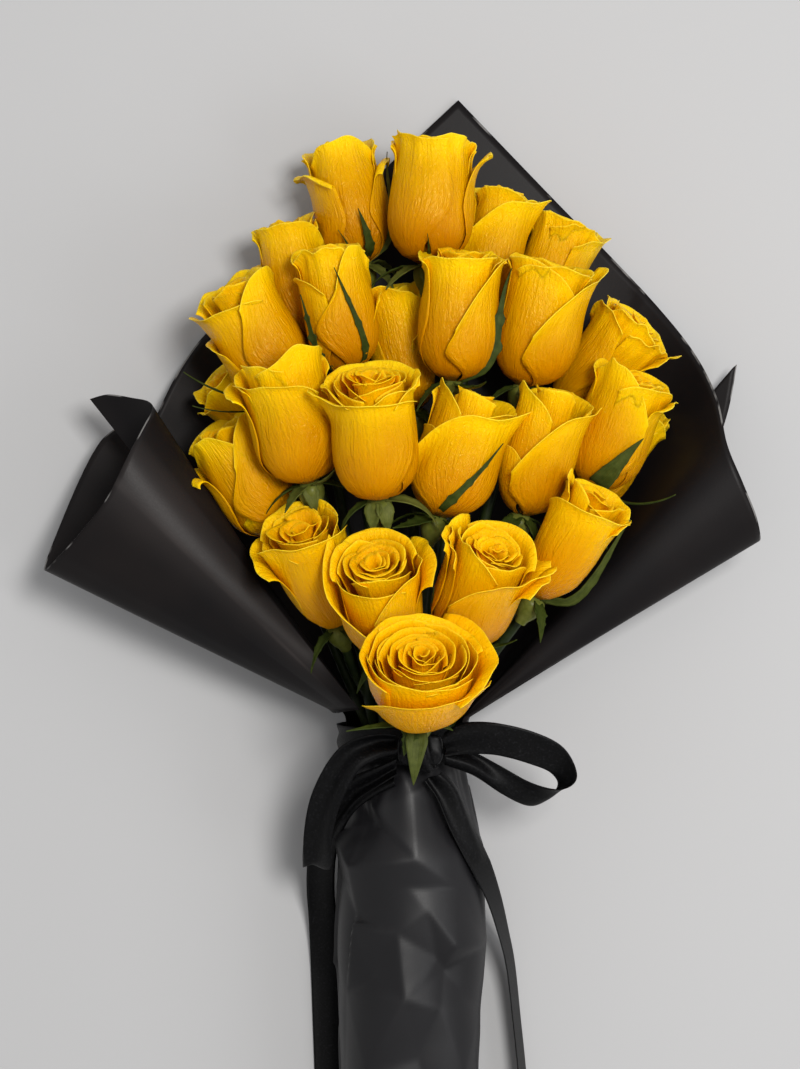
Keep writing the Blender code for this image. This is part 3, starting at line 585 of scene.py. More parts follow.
# For each head: its set petals, outermost first, its sepals, and its heart (how many
# petals, share of the radius, height, dome, close, flare, curl, loose).
HEADS = {
    1: (BACK + [
         P(-76, 66, 0.82, 1.0, dl=0.02, dr=0.14, flare=1.6, curl=150, turn=0.13,
           tips=[(-0.2, 0.03, 1.5, 0.3)]),
         P(90, 62, 0.84, 0.99, dl=0.12, dr=0.03, crown=0.4, flare=1.8, curl=150, turn=0.12),
         P(8, 100, 1.0, 0.92, dl=0.16, dr=0.20, flare=-1.0, curl=25, close=0.06, wave=0.7)],
        [S(66, 50, width=1.8, drift=14, teeth=0.4, lift=1.8, pale=0.5, facing=0.6),
         S(24, 25, width=2.9, drift=-16), S(84, 26, width=0.9, drift=-18, teeth=0.9, lift=1.5),
         S(-10, 17, width=0.8, drift=-12), S(150, 30, rise=20, to=-50, pale=0.5),
         S(40, 22, rise=-20, to=-70, width=4.4, pale=0.6)],
        (7, 0.80, 0.99, -0.03, 0.30, 0.3, 30, 0.8)),
    2: (BACK + [
         P(94, 46, 0.91, 1.0, dl=0.05, dr=0.03, crown=0.3, flare=4.5, curl=70, turn=0.16, wave=0.8),
         P(-50, 82, 1.0, 0.97, dl=0.07, dr=0.03, flare=-1.0, curl=40, wave=1.0, waves=9,
           tips=[(-0.6, 0.02, 1.0, 0.10), (-0.2, 0.015, 0.5, 0.08)]),
         P(46, 80, 1.0, 0.92, dl=0.03, dr=0.12, flare=-0.8, curl=35, wave=1.0, waves=10,
           tips=[(0.75, 0.02, 1.5, 0.12)])],
        [S(4, 13, width=0.9, drift=-6),
         S(-45, 26, rise=-10, to=-50, width=5.0, teeth=0.2, pale=0.6),
         S(50, 22, rise=-20, to=-70, width=4.6, pale=0.5),
         S(5, 18, rise=-40, to=-90, width=4.8, pale=0.7), S(-100, 25, rise=0, to=-50)],
        (7, 0.80, 0.99, -0.02, 0.28, 0.3, 30, 0.8)),
    3: ([
         P(175, 95, 1.0, 0.97, dl=0.2, dr=0.12, flare=0.5, curl=25, wave=0.8),
         P(16, 84, 0.89, 1.0, tilt=0.07, dl=0.48, dr=0.0, pw=1.7, flare=2.6, curl=40,
           tips=[(0.85, 0.04, 2.5, 0.16)]),
         P(-110, 70, 0.95, 0.92),
         P(80, 60, 0.95, 0.90),
         P(0, 90, 0.98, 0.84, close=0.1, flare=0)],
        [S(-8, 22, width=0.9, drift=8), B(60, 20), B(-60, 20)],
        (6, 0.76, 0.97, 0.0, 0.22, 0.5, 35, 1.0)),
    4: (BACK + [
         P(-38, 78, 1.0, 0.99, dl=0.14, dr=0.02, flare=0.6, curl=45, wave=1.0, waves=8),
         P(72, 62, 0.90, 1.0, tilt=0.05, dl=0.06, dr=-0.02, flare=3.2, curl=50,
           tips=[(0.35, 0.03, 3.0, 0.2)]),
         P(28, 60, 0.97, 0.90, wave=1.2, waves=9, tips=[(0.4, 0.02, 1.0, 0.1)])],
        [S(90, 22, rise=50, to=70, width=1.2), B(0, 20), B(-80, 20)],
        (7, 0.80, 0.97, 0.0, 0.12, 1.0, 45, 1.4)),
    5: (BACK + [
         P(-88, 55, 0.76, 1.0, dl=0.0, dr=0.12, flare=1.4, curl=160, turn=0.12),
         P(14, 92, 0.97, 0.97, tilt=-0.03, dl=0.03, dr=0.16, flare=0.4, curl=45, wave=0.6),
         P(120, 70, 1.03, 0.90, flare=0.6)],
        [B(30, 20), B(-60, 20), S(100, 20, rise=0, to=-60)],
        (6, 0.78, 0.99, 0.0, 0.25, 0.4, 35, 0.8)),
    6: (BACK + [
         P(112, 56, 0.62, 1.04, dl=0.10, dr=0.08, flare=2.2, curl=60, crown=0.3),
         P(46, 84, 0.98, 1.06, dl=0.30, dr=0.14, crown=0.50, flare=0.0, curl=18, wave=0.3,
           edge=1.2),
         P(-72, 66, 0.80, 0.98, dl=0.05, dr=0.14, flare=0.8, curl=60),
         P(-20, 80, 1.0, 0.88, wave=1.2, waves=11, flare=0.3, curl=60)],
        [S(-44, 40, width=2.2, drift=-4, teeth=1.3, lift=1.4, facing=0.3),
         S(50, 50, width=2.2, drift=-44, teeth=0.4, lift=0.8), B(100, 20), B(180, 20)],
        (7, 0.78, 0.98, 0.0, 0.18, 0.8, 50, 1.2)),
    7: (BACK + [
         P(-92, 58, 0.74, 1.03, flare=2.0, curl=80),
         P(-6, 92, 0.99, 1.0, tilt=-0.05, dl=0.04, dr=0.14, flare=0.8, curl=40, wave=0.9, waves=8),
         P(70, 60, 0.62, 0.97, flare=0.5)],
        [B(20, 20), B(-60, 20)],
        (5, 0.78, 0.98, 0.0, 0.25, 0.4, 35, 0.8)),
    8: ([
         P(172, 84, 1.03, 0.96, flare=2.0, wave=1.1, waves=9, curl=70),
         P(-112, 66, 1.0, 0.95, flare=2.4, curl=70),
         P(64, 78, 0.96, 1.05, tilt=0.02, dl=0.52, dr=0.02, pw=1.7, crown=0.16, flare=2.2, curl=45,
           edge=1.1),
         P(-22, 86, 0.96, 0.94, dl=0.10, dr=-0.02, flare=1.6, curl=50, wave=0.6),
         P(110, 60, 0.99, 0.90)],
        [S(64, 54, width=3.2, drift=8, teeth=0.9, lift=2.4, facing=0.85),
         S(78, 30, rise=70, to=88, width=1.3), S(30, 26, rise=-15, to=30, width=3.6, teeth=0.9),
         S(-15, 20, rise=-30, to=-80, width=4.2, pale=0.6),
         S(-60, 20, rise=-20, to=-70, width=4.0)],
        (9, 0.82, 0.99, 0.0, 0.14, 1.2, 50, 1.6)),
    9: ([
         P(178, 84, 1.0, 0.95, wave=0.9, flare=1.6),
         P(-130, 62, 1.0, 0.92, flare=1.2),
         P(122, 62, 1.0, 0.92, flare=1.6),
         P(60, 72, 0.92, 1.05, tilt=0.08, dl=0.42, dr=-0.02, pw=1.9, flare=3.2, curl=42, edge=1.1,
           tips=[(0.72, 0.05, 3.5, 0.22)]),
         P(-36, 90, 0.98, 0.95, dl=0.06, dr=0.24, flare=0.8, curl=40, wave=0.6),
         P(20, 80, 0.98, 0.87, wave=0.8)],
        [S(62, 30, rise=50, to=76, width=3.0, teeth=0.2),
         S(10, 20, rise=-30, to=-80, width=4.4, pale=0.8), S(-60, 20, rise=-20, to=-70),
         B(150, 20)],
        (8, 0.80, 0.97, 0.0, 0.15, 1.0, 50, 1.2)),
    10: ([
         P(170, 80, 0.98, 0.95, flare=2.5, wave=1.0),
         P(-55, 66, 0.92, 1.0, dl=0.16, dr=0.10, crown=0.25, flare=2.2, curl=60),
         P(86, 44, 0.92, 1.0, dl=0.12, dr=0.12, crown=0.4, flare=3.6, curl=45, turn=0.2,
           tips=[(0.1, 0.05, 2.5, 0.3)]),
         P(48, 52, 0.92, 0.97, flare=3.5, curl=60, wave=1.2, waves=9),
         P(0, 56, 0.97, 0.93, flare=2.0, curl=60, wave=1.2, waves=9),
         P(-110, 60, 0.97, 0.92)],
        [S(110, 22, rise=10, to=60), S(60, 22, rise=-10, to=30), B(0, 20)],
        (9, 0.82, 0.95, 0.0, 0.02, 1.8, 60, 1.8)),
    11: ([
         P(178, 88, 1.0, 0.95, flare=1.8, wave=0.8),
         P(125, 62, 1.0, 0.92, flare=1.5),
         P(-100, 60, 0.66, 1.03, dl=0.05, dr=0.10, flare=2.4, curl=60),
         P(52, 78, 1.0, 1.07, dl=0.20, dr=0.10, pw=2.0, crown=0.30, flare=1.6, curl=25, edge=1.1),
         P(-38, 82, 0.86, 0.96, dl=-0.02, dr=0.06, flare=2.4, curl=60, twist=-1.6,
           tips=[(-0.85, 0.03, 2.5, 0.2)])],
        [S(-74, 50, rise=28, to=62, width=2.7, drift=12, teeth=0.3),
         S(-60, 46, rise=8, to=44, width=1.5, drift=-6, teeth=1.2), B(30, 20), B(100, 20)],
        (8, 0.80, 0.97, 0.02, 0.06, 1.4, 50, 1.4)),
    12: ([
         P(165, 84, 0.94, 0.95, flare=1.2, curl=60),
         P(-118, 70, 0.94, 0.97, flare=2.4, curl=60),
         P(-104, 46, 0.88, 1.04, flare=4.0, curl=80, turn=0.15),
         P(-24, 88, 0.89, 1.0, dl=0.0, dr=0.12, pw=3.0, crown=0.36, flare=3.2, curl=62, turn=0.10,
           wave=0.3),
         P(34, 88, 1.06, 0.96, dl=0.12, dr=0.10, pw=2.0, flare=0.8, curl=24, close=0.04, wave=0.6,
           tips=[(-0.10, 0.07, 0.5, 0.35)]),
         P(-54, 62, 1.02, 0.90, dl=0.04, dr=0.06, flare=0.8, curl=30)],
        [S(40, 18, rise=10, to=45, width=4.2, pale=0.6),
         S(-40, 18, rise=-10, to=-35, width=4.4, pale=0.4),
         S(0, 14, rise=-60, to=-110, width=4.8, teeth=0.1, pale=0.7), S(80, 22, rise=-10, to=-50),
         S(-100, 22, rise=-10, to=-50)],
        (7, 0.76, 0.90, 0.0, 0.14, 0.8, 45, 1.2)),
    13: ([
         P(150, 72, 0.99, 0.97, flare=1.8, curl=70),
         P(-150, 66, 0.99, 0.95, flare=1.8, curl=70),
         P(-14, 78, 0.91, 1.0, dl=-0.02, dr=0.05, pw=3.0, flare=3.0, curl=80, turn=0.10, wave=0.4,
           tips=[(-0.92, 0.03, 5.0, 0.18)]),
         P(84, 64, 0.99, 0.99, dl=0.16, dr=0.05, flare=1.8, curl=75, wave=0.5),
         P(-84, 62, 0.95, 0.95, flare=2.0, curl=70),
         P(40, 60, 0.93, 0.90, dl=0.12, flare=1.5)],
        [S(-24, 14, rise=-50, to=-100, width=5.6, teeth=0.1, pale=0.6),
         S(22, 15, rise=-50, to=-100, width=5.6, teeth=0.1, pale=0.7),
         S(74, 30, rise=10, to=-80, width=5.2, teeth=0.15, drift=20, pale=0.9),
         S(-75, 22, rise=-10, to=-80), B(180, 22)],
        (14, 0.90, 0.96, 0.06, 0.06, 1.2, 60, 1.5)),
    14: ([
         P(150, 80, 0.98, 0.96, flare=1.8, curl=60),
         P(-150, 66, 0.98, 0.92),
         P(-62, 70, 0.66, 0.975, dl=0.10, dr=0.20, flare=0.0, curl=20),
         P(16, 84, 0.86, 1.05, tilt=0.09, dl=0.34, dr=-0.03, pw=2.2, crown=0.10, flare=2.8, curl=48,
           edge=1.2, tips=[(0.85, 0.03, 3.0, 0.18)]),
         P(-72, 66, 0.98, 0.93, dl=0.08, dr=0.16, flare=0.6, curl=25,
           tips=[(-0.1, 0.05, 0.5, 0.16)]),
         P(80, 70, 0.93, 0.92, flare=1.8)],
        [S(-4, 42, width=2.4, drift=60, teeth=0.4, lift=1.1),
         S(-38, 26, rise=-25, to=-10, width=5.0, teeth=0.4), B(60, 22), B(-110, 22)],
        (7, 0.86, 0.99, -0.02, 0.28, 0.4, 30, 1.0)),
    15: ([
         P(160, 80, 0.98, 0.95, flare=1.5),
         P(110, 56, 0.97, 0.93, flare=2.5, wave=0.9),
         P(-66, 66, 0.52, 0.985, dl=0.08, dr=0.16, flare=0.0, curl=20),
         P(42, 76, 0.88, 1.05, tilt=0.10, dl=0.44, dr=-0.04, pw=2.0, crown=0.08, flare=3.0, curl=42,
           edge=1.2, tips=[(0.88, 0.03, 2.5, 0.16)]),
         P(-62, 78, 0.98, 0.95, dl=0.10, dr=0.20, flare=0.6, curl=25,
           tips=[(-0.05, 0.03, 0.5, 0.14)])],
        [S(-25, 26, rise=-30, to=-75, width=5.4, teeth=0.1), S(40, 22, rise=-20, to=-70),
         B(110, 22)],
        (7, 0.86, 1.0, -0.02, 0.26, 0.6, 30, 1.4)),
    16: ([
         P(165, 80, 0.96, 0.95),
         P(-130, 60, 0.96, 0.93),
         P(84, 50, 0.87, 1.0, dl=0.05, dr=0.05, flare=3.0, curl=75, turn=0.14),
         P(-22, 72, 1.0, 1.0, dl=0.10, dr=0.36, pw=2.0, flare=0.2, curl=14, edge=1.2,
           tips=[(-0.42, 0.05, 0.0, 0.15)]),
         P(42, 66, 0.93, 0.94, flare=2.2, curl=55)],
        [S(0, 33, width=6.2, teeth=0.1, drift=34, lift=1.6, facing=0.6, pale=0.15),
         S(58, 42, rise=-5, to=50, width=4.2, teeth=0.2), S(85, 20, rise=60, to=85, width=0.9),
         B(-20, 22), B(-100, 22)],
        (8, 0.80, 0.94, 0.0, 0.05, 1.4, 55, 1.4)),
    17: ([
         P(178, 84, 0.98, 0.95),
         P(120, 60, 0.97, 0.92),
         P(-96, 48, 0.82, 1.05, flare=4.5, curl=150, turn=0.14),
         P(6, 70, 0.30, 1.0, flare=0.2, curl=10),
         P(44, 86, 0.97, 1.06, dl=0.30, dr=0.12, pw=2.0, crown=0.40, flare=0.0, curl=14, edge=1.3),
         P(-44, 80, 0.96, 0.96, dl=0.20, dr=0.14, crown=0.35, flare=0.6, curl=18, edge=1.2)],
        [S(66, 42, width=1.6, drift=10, teeth=1.4, lift=2.0), S(100, 22, rise=0, to=-60),
         B(-60, 20)],
        (6, 0.78, 0.95, 0.0, 0.2, 0.5, 35, 1.0)),
    18: (BACK + [
         P(0, 84, 0.93, 1.0, dl=0.12, dr=0.12, flare=1.6, wave=0.9),
         P(-80, 56, 0.86, 1.02, flare=3.0, curl=70),
         P(80, 66, 0.93, 0.94)],
        [S(-60, 22, rise=0, to=-50), S(60, 22, rise=0, to=-50)],
        (6, 0.80, 0.95, 0.0, 0.1, 1.0, 45, 1.2)),
    19: ([
         P(175, 86, 1.0, 0.97, flare=1.0, curl=50, wave=0.8),
         P(-98, 52, 0.87, 1.0, flare=4.5, curl=80, turn=0.16),
         P(4, 84, 0.99, 1.03, tilt=-0.10, dl=0.14, dr=0.02, pw=2.8, flare=1.8, curl=50, turn=0.08,
           tips=[(-0.9, 0.0, 3.5, 0.2)]),
         P(92, 66, 0.95, 0.93, flare=0.5, curl=40),
         P(-70, 60, 0.93, 0.91, flare=1.4, curl=60)],
        [B(30, 22), B(-60, 22), B(100, 22)],
        (10, 0.80, 0.95, 0.03, 0.04, 1.8, 65, 2.0)),
    20: ([
         P(165, 78, 0.98, 0.96, flare=0.8, curl=60),
         P(98, 46, 0.90, 1.0, flare=5.0, curl=80, turn=0.16),
         P(-72, 64, 0.74, 1.08, tilt=-0.36, dl=0.02, dr=0.02, pw=3.0, crown=0.0, foot=0.45,
           flare=3.2, curl=55, edge=1.4),
         P(44, 66, 0.88, 1.0, dl=0.30, dr=0.02, pw=2.0, flare=1.2, curl=30,
           tips=[(0.6, 0.03, 1.5, 0.2)]),
         P(-30, 76, 0.84, 0.92, dl=0.0, dr=0.06, flare=1.6, curl=25),
         P(-130, 60, 0.95, 0.93, flare=1.4, curl=60)],
        [S(74, 22, width=2.0, lift=2.0), S(88, 34, width=1.6, lift=1.5), B(-60, 22)],
        (14, 0.82, 0.94, 0.0, 0.04, 1.6, 70, 1.2)),
    21: ([
         P(160, 78, 0.97, 0.96, flare=1.0, curl=60),
         P(100, 52, 0.92, 1.0, flare=5.5, curl=80, turn=0.16, wave=0.8),
         P(-100, 46, 0.97, 1.04, flare=3.4, curl=60, wave=1.2, waves=7),
         P(-80, 44, 0.94, 0.98, flare=2.2, curl=50, wave=1.2, waves=7),
         P(34, 66, 0.93, 1.06, tilt=0.03, dl=0.34, dr=-0.02, pw=2.2, flare=3.2, curl=50, edge=1.1,
           tips=[(0.9, 0.03, 3.5, 0.2)]),
         P(-42, 70, 1.02, 0.95, dl=0.06, dr=0.16, pw=2.0, flare=0.8, curl=30,
           tips=[(0.1, 0.04, 0.5, 0.2)]),
         P(30, 70, 0.96, 0.88, flare=0.6, curl=8)],
        [S(-38, 22, width=1.4, lift=2.0), S(80, 28, rise=20, to=60, width=3.0, teeth=0.9),
         B(110, 22)],
        (13, 0.78, 0.95, 0.0, 0.04, 1.6, 65, 1.4)),
    22: ([
         P(165, 80, 0.97, 0.95, wave=1.0),
         P(-90, 50, 0.98, 0.93, tips=[(0.1, 0.06, 0.5, 0.14)], flare=0.5),
         P(2, 98, 0.87, 1.0, tilt=0.04, dl=0.12, dr=0.0, pw=2.6, crown=0.06, flare=1.8, curl=45,
           wave=0.3),
         P(100, 56, 0.90, 0.97, flare=2.0, curl=70, wave=1.0, waves=8)],
        [S(76, 54, width=3.6, drift=16, teeth=0.2, lift=0.8, facing=0.5, pale=0.2),
         S(30, 22, rise=-20, to=-40, width=4.0), B(-70, 22)],
        (9, 0.78, 0.93, 0.0, 0.02, 1.6, 60, 2.2)),
    23: ([
         P(174, 70, 0.97, 1.0, flare=1.6, curl=80, turn=0.14, wave=0.9, waves=7, crown=0.0),
         P(-100, 66, 0.93, 1.02, flare=1.8, curl=70, turn=0.12, wave=0.7, crown=0.0, twist=-0.8),
         P(98, 66, 0.97, 1.05, flare=4.0, curl=80, turn=0.20, wave=0.8, crown=0.0, twist=0.6),
         P(4, 68, 0.82, 1.10, tilt=0.04, dl=0.34, dr=0.04, pw=2.4, flare=2.0, curl=42, turn=0.12,
           wave=0.5, crown=0.0, foot=0.4, tips=[(-0.90, 0.02, 3.2, 0.18), (0.93, 0.02, 3.0, 0.18)]),
         P(-14, 78, 0.95, 0.98, dl=0.05, dr=0.08, flare=1.4, curl=22, crown=0.0, turn=0.10),
         P(66, 60, 0.94, 0.93, flare=1.6, curl=30, crown=0.0, turn=0.10),
         P(-140, 56, 0.96, 0.92, flare=1.0, curl=40, crown=0.0, turn=0.10)],
        [S(-2, 26, width=6.4, rise=-30, to=-62, teeth=0.0, lean=0.2, pale=0.25),
         S(-66, 31, rise=14, to=4, width=2.6), S(80, 12, rise=10, to=-30),
         S(-26, 14, rise=-30, to=-70, width=4.6), S(150, 26, rise=10, to=-40),
         S(-140, 26, rise=10, to=-40)],
        (17, 1.00, 0.92, 0.08, 0.10, 1.0, 60, 1.3)),
    24: (BACK + [
         P(0, 84, 0.95, 1.0, dl=0.12, dr=0.12),
         P(84, 66, 0.92, 1.02, dl=0.2, dr=0.2, crown=0.3, flare=1.0, curl=30),
         P(-84, 66, 0.93, 0.94)],
        [S(60, 22, rise=0, to=-50), S(-60, 22, rise=0, to=-50)],
        (5, 0.80, 0.95, 0.0, 0.15, 1.0, 45, 1.0)),
}


# Thickness of the outer petals, the petals in the heart and the sepals.
PETAL_WALL, HEART_WALL, SEPAL_WALL = 0.32, 0.28, 0.5


def build_rose(n):
    rose = Rose(n)
    petals, sepals, heart = HEADS[n]
    bm = bmesh.new()
    for k, spec in enumerate(petals):
        petal(bm, rose, seed=k + 1, heart=LIT.get(n, 0.0), **spec)
    piece("rose_%02d_outer_petals" % n, bm, PETAL, "petals", "rose_%02d_bloom" % n,
          thickness=PETAL_WALL)
    bm = bmesh.new()
    heart_petals(bm, rose, *heart)
    piece("rose_%02d_heart_petals" % n, bm, PETAL, "petals", thickness=HEART_WALL)
    bm = bmesh.new()
    for k, spec in enumerate(sepals):
        sepal(bm, rose, seed=k + 1, **spec)
    piece("rose_%02d_sepals" % n, bm, SEPAL, "stems", thickness=SEPAL_WALL)
    hip(rose)


for number in HEADS:
    build_rose(number)


# ---------------------------------------------------------------- stems and their tie
def stems():
    """The canes, rounded, in place of the plain ones. Their cut ends stay flat."""
    for n in HEADS:
        name = "rose_%02d_stem" % n
        bm = bmesh.new()
        bm.from_mesh(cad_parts[name].data)
        bmesh.ops.remove_doubles(bm, verts=bm.verts, dist=1e-6)
        bmesh.ops.recalc_face_normals(bm, faces=bm.faces)
        sharp = bm.edges.layers.float.new("crease_edge")
        cut = min(v.co.y for v in bm.verts) + 0.3 * MM
        for e in bm.edges:
            e[sharp] = 1.0 if max(v.co.y for v in e.verts) < cut else 0.0
        rounded(piece("rose_%02d_cane" % n, bm, CANE, "stems", name))
    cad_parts["stem_tie"].material_slots[0].material = RUBBER


stems()


# ---------------------------------------------------------------- wrapping sheets
def tie_arc(radius, angle):
    """A point round the bundle: 0 is below it, 90 is its right side."""
    a = math.radians(angle)
    return Vector((radius * math.sin(a), 0.0, TIE_Z - radius * math.cos(a)))


def placed(q):
    """Metres, from mm measured from the tie."""
    return TIE + Vector(q) * MM


LOWEST = 0.5            # height of a sheet's middle where it lies on the table
NECK = 1.0 / 6.0        # share of a sheet's length that is gathered at the tie
# The sheets' rims, left to right and then under, as (across, along, height) from the tie.
UNDER_RIM = [(-84, 150, 0.5), (-50, 196, 0.5), (0, 228, 0.5), (60, 212, 0.5), (128, 158, 4.0),
             (160, 180, 14.0), (156, 158, 13.0), (149, 135, 10.0)]
BACK_RIM = [(-121, 152, 16), (-107, 181, 9), (-88, 204, 3), (-31, 256, 2), (26, 309, 2),
            (77, 256, 2), (97, 236, 3), (123, 207, 9), (139, 184, 22), (147, 162, 44),
            (150, 140, 59), (157, 122, 62), (164, 106, 57), (167, 95, 44), (161, 103, 30),
            (148, 116, 24)]
LEFT_RIM = [(-138, 150, 14), (-146, 143, 17), (-154, 128, 22), (-163, 104, 34), (-169, 82, 52),
            (-160, 88, 68), (-147, 101, 79), (-136, 115, 84), (-127, 133, 84), (-120, 148, 76),
            (-117, 156, 66), (-120, 160, 56), (-128, 162, 48), (-140, 164, 41), (-149, 162, 38)]
ROLL = 13.0 / 15.0      # share of the back sheet's rim at which it turns under
FRONT = 0.62            # share of the left roll's rim that is its outer layer
CREASE = 0.53           # where that layer is softly folded down its length
LEFT_FOOT = 34.4        # radius round the bundle on which the left roll's foot lies
GATHER = (-7.0, 11.0)   # from where to where along the bundle the sheets are gathered
PAPER_WALL = 0.35       # thickness of the sheets' paper
# What each sheet was cut to, in metres across and along; its foot is gathered.
UNDER_CUT, BACK_CUT, LEFT_CUT, FILM_CUT = (0.27, 0.24), (0.48, 0.31), (0.22, 0.17), (0.205, 0.245)


def back_gather(u):
    """Radius and angle of the back sheet's foot round the bundle."""
    if u <= 0.65:
        return 27.9, -88.0 + 183.0 * u / 0.65
    if u <= ROLL:
        return 27.9, 95.0 + 8.0 * (u - 0.65) / (ROLL - 0.65)
    return 27.9 + 2.2 * smooth((u - ROLL) / 0.02), 103.5 - 110.0 * max(0.0, u - ROLL - 0.02)


def along_rim(rim, corner, u):
    """Point at u on a rim whose curve is broken at one sharp corner."""
    k = corner / (len(rim) - 1)
    if u <= k:
        return through(rim[:corner + 1], u / k)
    return through(rim[corner:], (u - k) / (1.0 - k))


def fan(rim, corner, gather, floor, straight, pleats, seed):
    """A sheet gathered under the ribbon that opens out to its rim.  gather(u): radius
    and angle of its foot.  It drops to the height `floor` before it rises to its rim,
    and where straight(u) is 1 it goes straight there.  pleats: how many small folds
    run up from the gather before it lies smooth."""
    def place(u, v):
        end = along_rim(rim, corner, u)
        radius, angle = gather(u)
        fold = noise.noise(Vector((u * pleats, seed, 0.0)))
        if v < NECK:
            foot = tie_arc(radius + 0.35 * fold, angle)
            foot.y = GATHER[0] + (GATHER[1] - GATHER[0]) * v / NECK
            return placed(foot)
        foot = tie_arc(radius, angle)
        out = Vector((foot.x, 0.0, foot.z - TIE_Z)).normalized()
        foot.y = GATHER[1]
        t = (v - NECK) / (1.0 - NECK)
        q = foot.lerp(end, t)
        drop = foot.z - floor
        eased = floor + drop * max(0.0, 1.0 - t * 2.8) ** 1.5 + (end.z - floor) * t ** 2.2
        k = straight(u)
        q.z = k * q.z + (1.0 - k) * eased
        amount = 0.35 * (1 - smooth(t * 30)) + 1.5 * smooth(t / 0.06) * (1 - smooth(t / 0.42))
        q += out * (amount * fold)
        if q.z > 6.0:
            q.z += 0.8 * noise.noise(Vector((q.x * 0.012, q.y * 0.012, seed))) * smooth(t / 0.4)
        q.z = max(q.z, LOWEST)
        return placed(q)
    return place


def left_foot(u):
    """The roll's small end, pressed flat on the bundle's left and front."""
    if u < FRONT:
        k = u / FRONT
        foot = tie_arc(LEFT_FOOT, -72.0 - 70.0 * k)
        foot.y = 12.5 + 4.0 * k
    else:
        k = (u - FRONT) / (1.0 - FRONT)
        foot = tie_arc(LEFT_FOOT - 2.0 * smooth(k / 0.12), -142.0 + 40.0 * k)
        foot.y = 16.5 - 3.0 * k
    return foot


def left_roll(u, v):
    """The left sheet, from its small end to the mouth of the roll."""
    q = left_foot(u).lerp(Vector(through(LEFT_RIM, u)), v)
    q.z += 4.0 * math.sin(math.pi * v) * (1.0 - 1.6 * min(u, FRONT))
    q.z += 0.7 * noise.noise(Vector((u * 2.2, v * 2.0, 5.0))) * smooth(v / 0.3)
    ridge = abs(u - CREASE) / 0.085
    q.z += 3.6 * max(0.0, 1.0 - math.sqrt(ridge * ridge + 0.012)) * math.sin(math.pi * v) ** 0.6
    return placed(q)


def left_crease_highlight(u, v):
    """The painted highlight along the crease, and the softer painted warm sheen beside it."""
    off = u - CREASE
    line = math.exp(-(off / 0.007) ** 2) * (0.5 + 0.5 * noise.noise(Vector((v * 6.0, 2.0, 0.0))))
    band = smooth(off / 0.04) * (1.0 - smooth((off - 0.07) / 0.03))
    painted_sheen = 0.34 * math.exp(-(off / 0.05) ** 2) + 0.22 * band
    return min(1.0, (0.8 * line + painted_sheen) * smooth(v / 0.25))


def sheets():
    def under_gather(u):
        return 29.8, -40.0 + 112.0 * u

    def never(u):
        return 0.0

    def toward_right(u):
        return smooth((u - 0.52) / 0.16)

    # its name, the solid it replaces, its grid, its shape and painted highlight, its cut, the share
    # of that which is sheet, and what it rests on
    for name, solid, grid, shape, lit_crease, cut, share, below in [
            ("wrap_under_sheet", "under_sheet", (60, 50),
             fan(UNDER_RIM, 5, under_gather, LOWEST, never, 9.0, 3.0), None,
             UNDER_CUT, 0.515, "ribbon_round_tie"),
            ("wrap_back_sheet", "back_sheet", (210, 70),
             fan(BACK_RIM, 4, back_gather, 2.0, toward_right, 26.0, 11.0), None,
             BACK_CUT, 0.43, "wrap_under_sheet"),
            ("wrap_left_wing", "left_wing", (150, 60), left_roll, left_crease_highlight,
             LEFT_CUT, 0.61, "wrap_back_sheet")]:
        bm = bmesh.new()
        sheet_grid(bm, *grid, shape, lit_crease)
        ob = piece(name, bm, PAPER, "wrapping_sheet", solid, thickness=PAPER_WALL)


sheets()


# ---------------------------------------------------------------- film round the handle
# Corners of the crumples: (across, along, in or out), with flat facets between them.
CRUMPLE = [(-30, -8, 0.0), (-22, -14, 1.5), (-12, -8, -1.0), (-2, -12, 1.6), (12, -8, -0.6),
           (24, -14, 0.6), (34, -10, 0.0), (-31, -34, 0.0), (-20, -34, -1.6), (-14, -30, 1.4),
           (2, -22, 2.4), (2.5, -52, 2.2), (18, -36, 0.4), (30, -36, -0.5), (-27, -57, 1.6),
           (-1.5, -65, 0.3), (-26, -80, -1.2), (8, -76, 1.3), (22, -66, 0.5), (33, -60, 0.4),
           (-25, -84, 1.6), (-6, -86, 0.6), (19, -93, 2.6), (34, -95, 1.6), (13, -99, -0.6),
           (-2, -117, 2.6), (17, -104, -1.4), (-20, -108, -1.2), (-29, -116, 0.4),
           (14, -122, 0.4), (32, -126, 0.6), (-19, -150, 1.8), (4, -146, -1.2), (24, -152, 1.4),
           (-30, -170, 0.0), (-8, -178, 1.6), (14, -186, -1.2), (32, -180, 0.4), (-22, -206, 1.2),
           (0, -214, -1.4), (20, -222, 1.4), (-30, -236, 0.0), (33, -232, 0.0), (-6, -238, 1.0),
           (12, -240, -0.8)]


def facets(points):
    """Joins the corners into facets, and returns a reading of them at any place."""
    border = [(-70, 20, 0.0), (70, 20, 0.0), (70, -260, 0.0), (-70, -260, 0.0)]
    points = points + border
    verts, _, faces, *_ = delaunay_2d_cdt([Vector(p[:2]) for p in points], [], [], 0, 1e-4)
    tris = [(*(verts[i] for i in f), [points[i][2] for i in f]) for f in faces]

    def read(x, y):
        for a, b, c, h in tris:
            d = (b.y - c.y) * (a.x - c.x) + (c.x - b.x) * (a.y - c.y)
            if abs(d) < 1e-9:
                continue
            w0 = ((b.y - c.y) * (x - c.x) + (c.x - b.x) * (y - c.y)) / d
            w1 = ((c.y - a.y) * (x - c.x) + (a.x - c.x) * (y - c.y)) / d
            if w0 >= -1e-6 and w1 >= -1e-6 and w0 + w1 <= 1.000001:
                return w0 * h[0] + w1 * h[1] + (1 - w0 - w1) * h[2]
        return 0.0
    return read


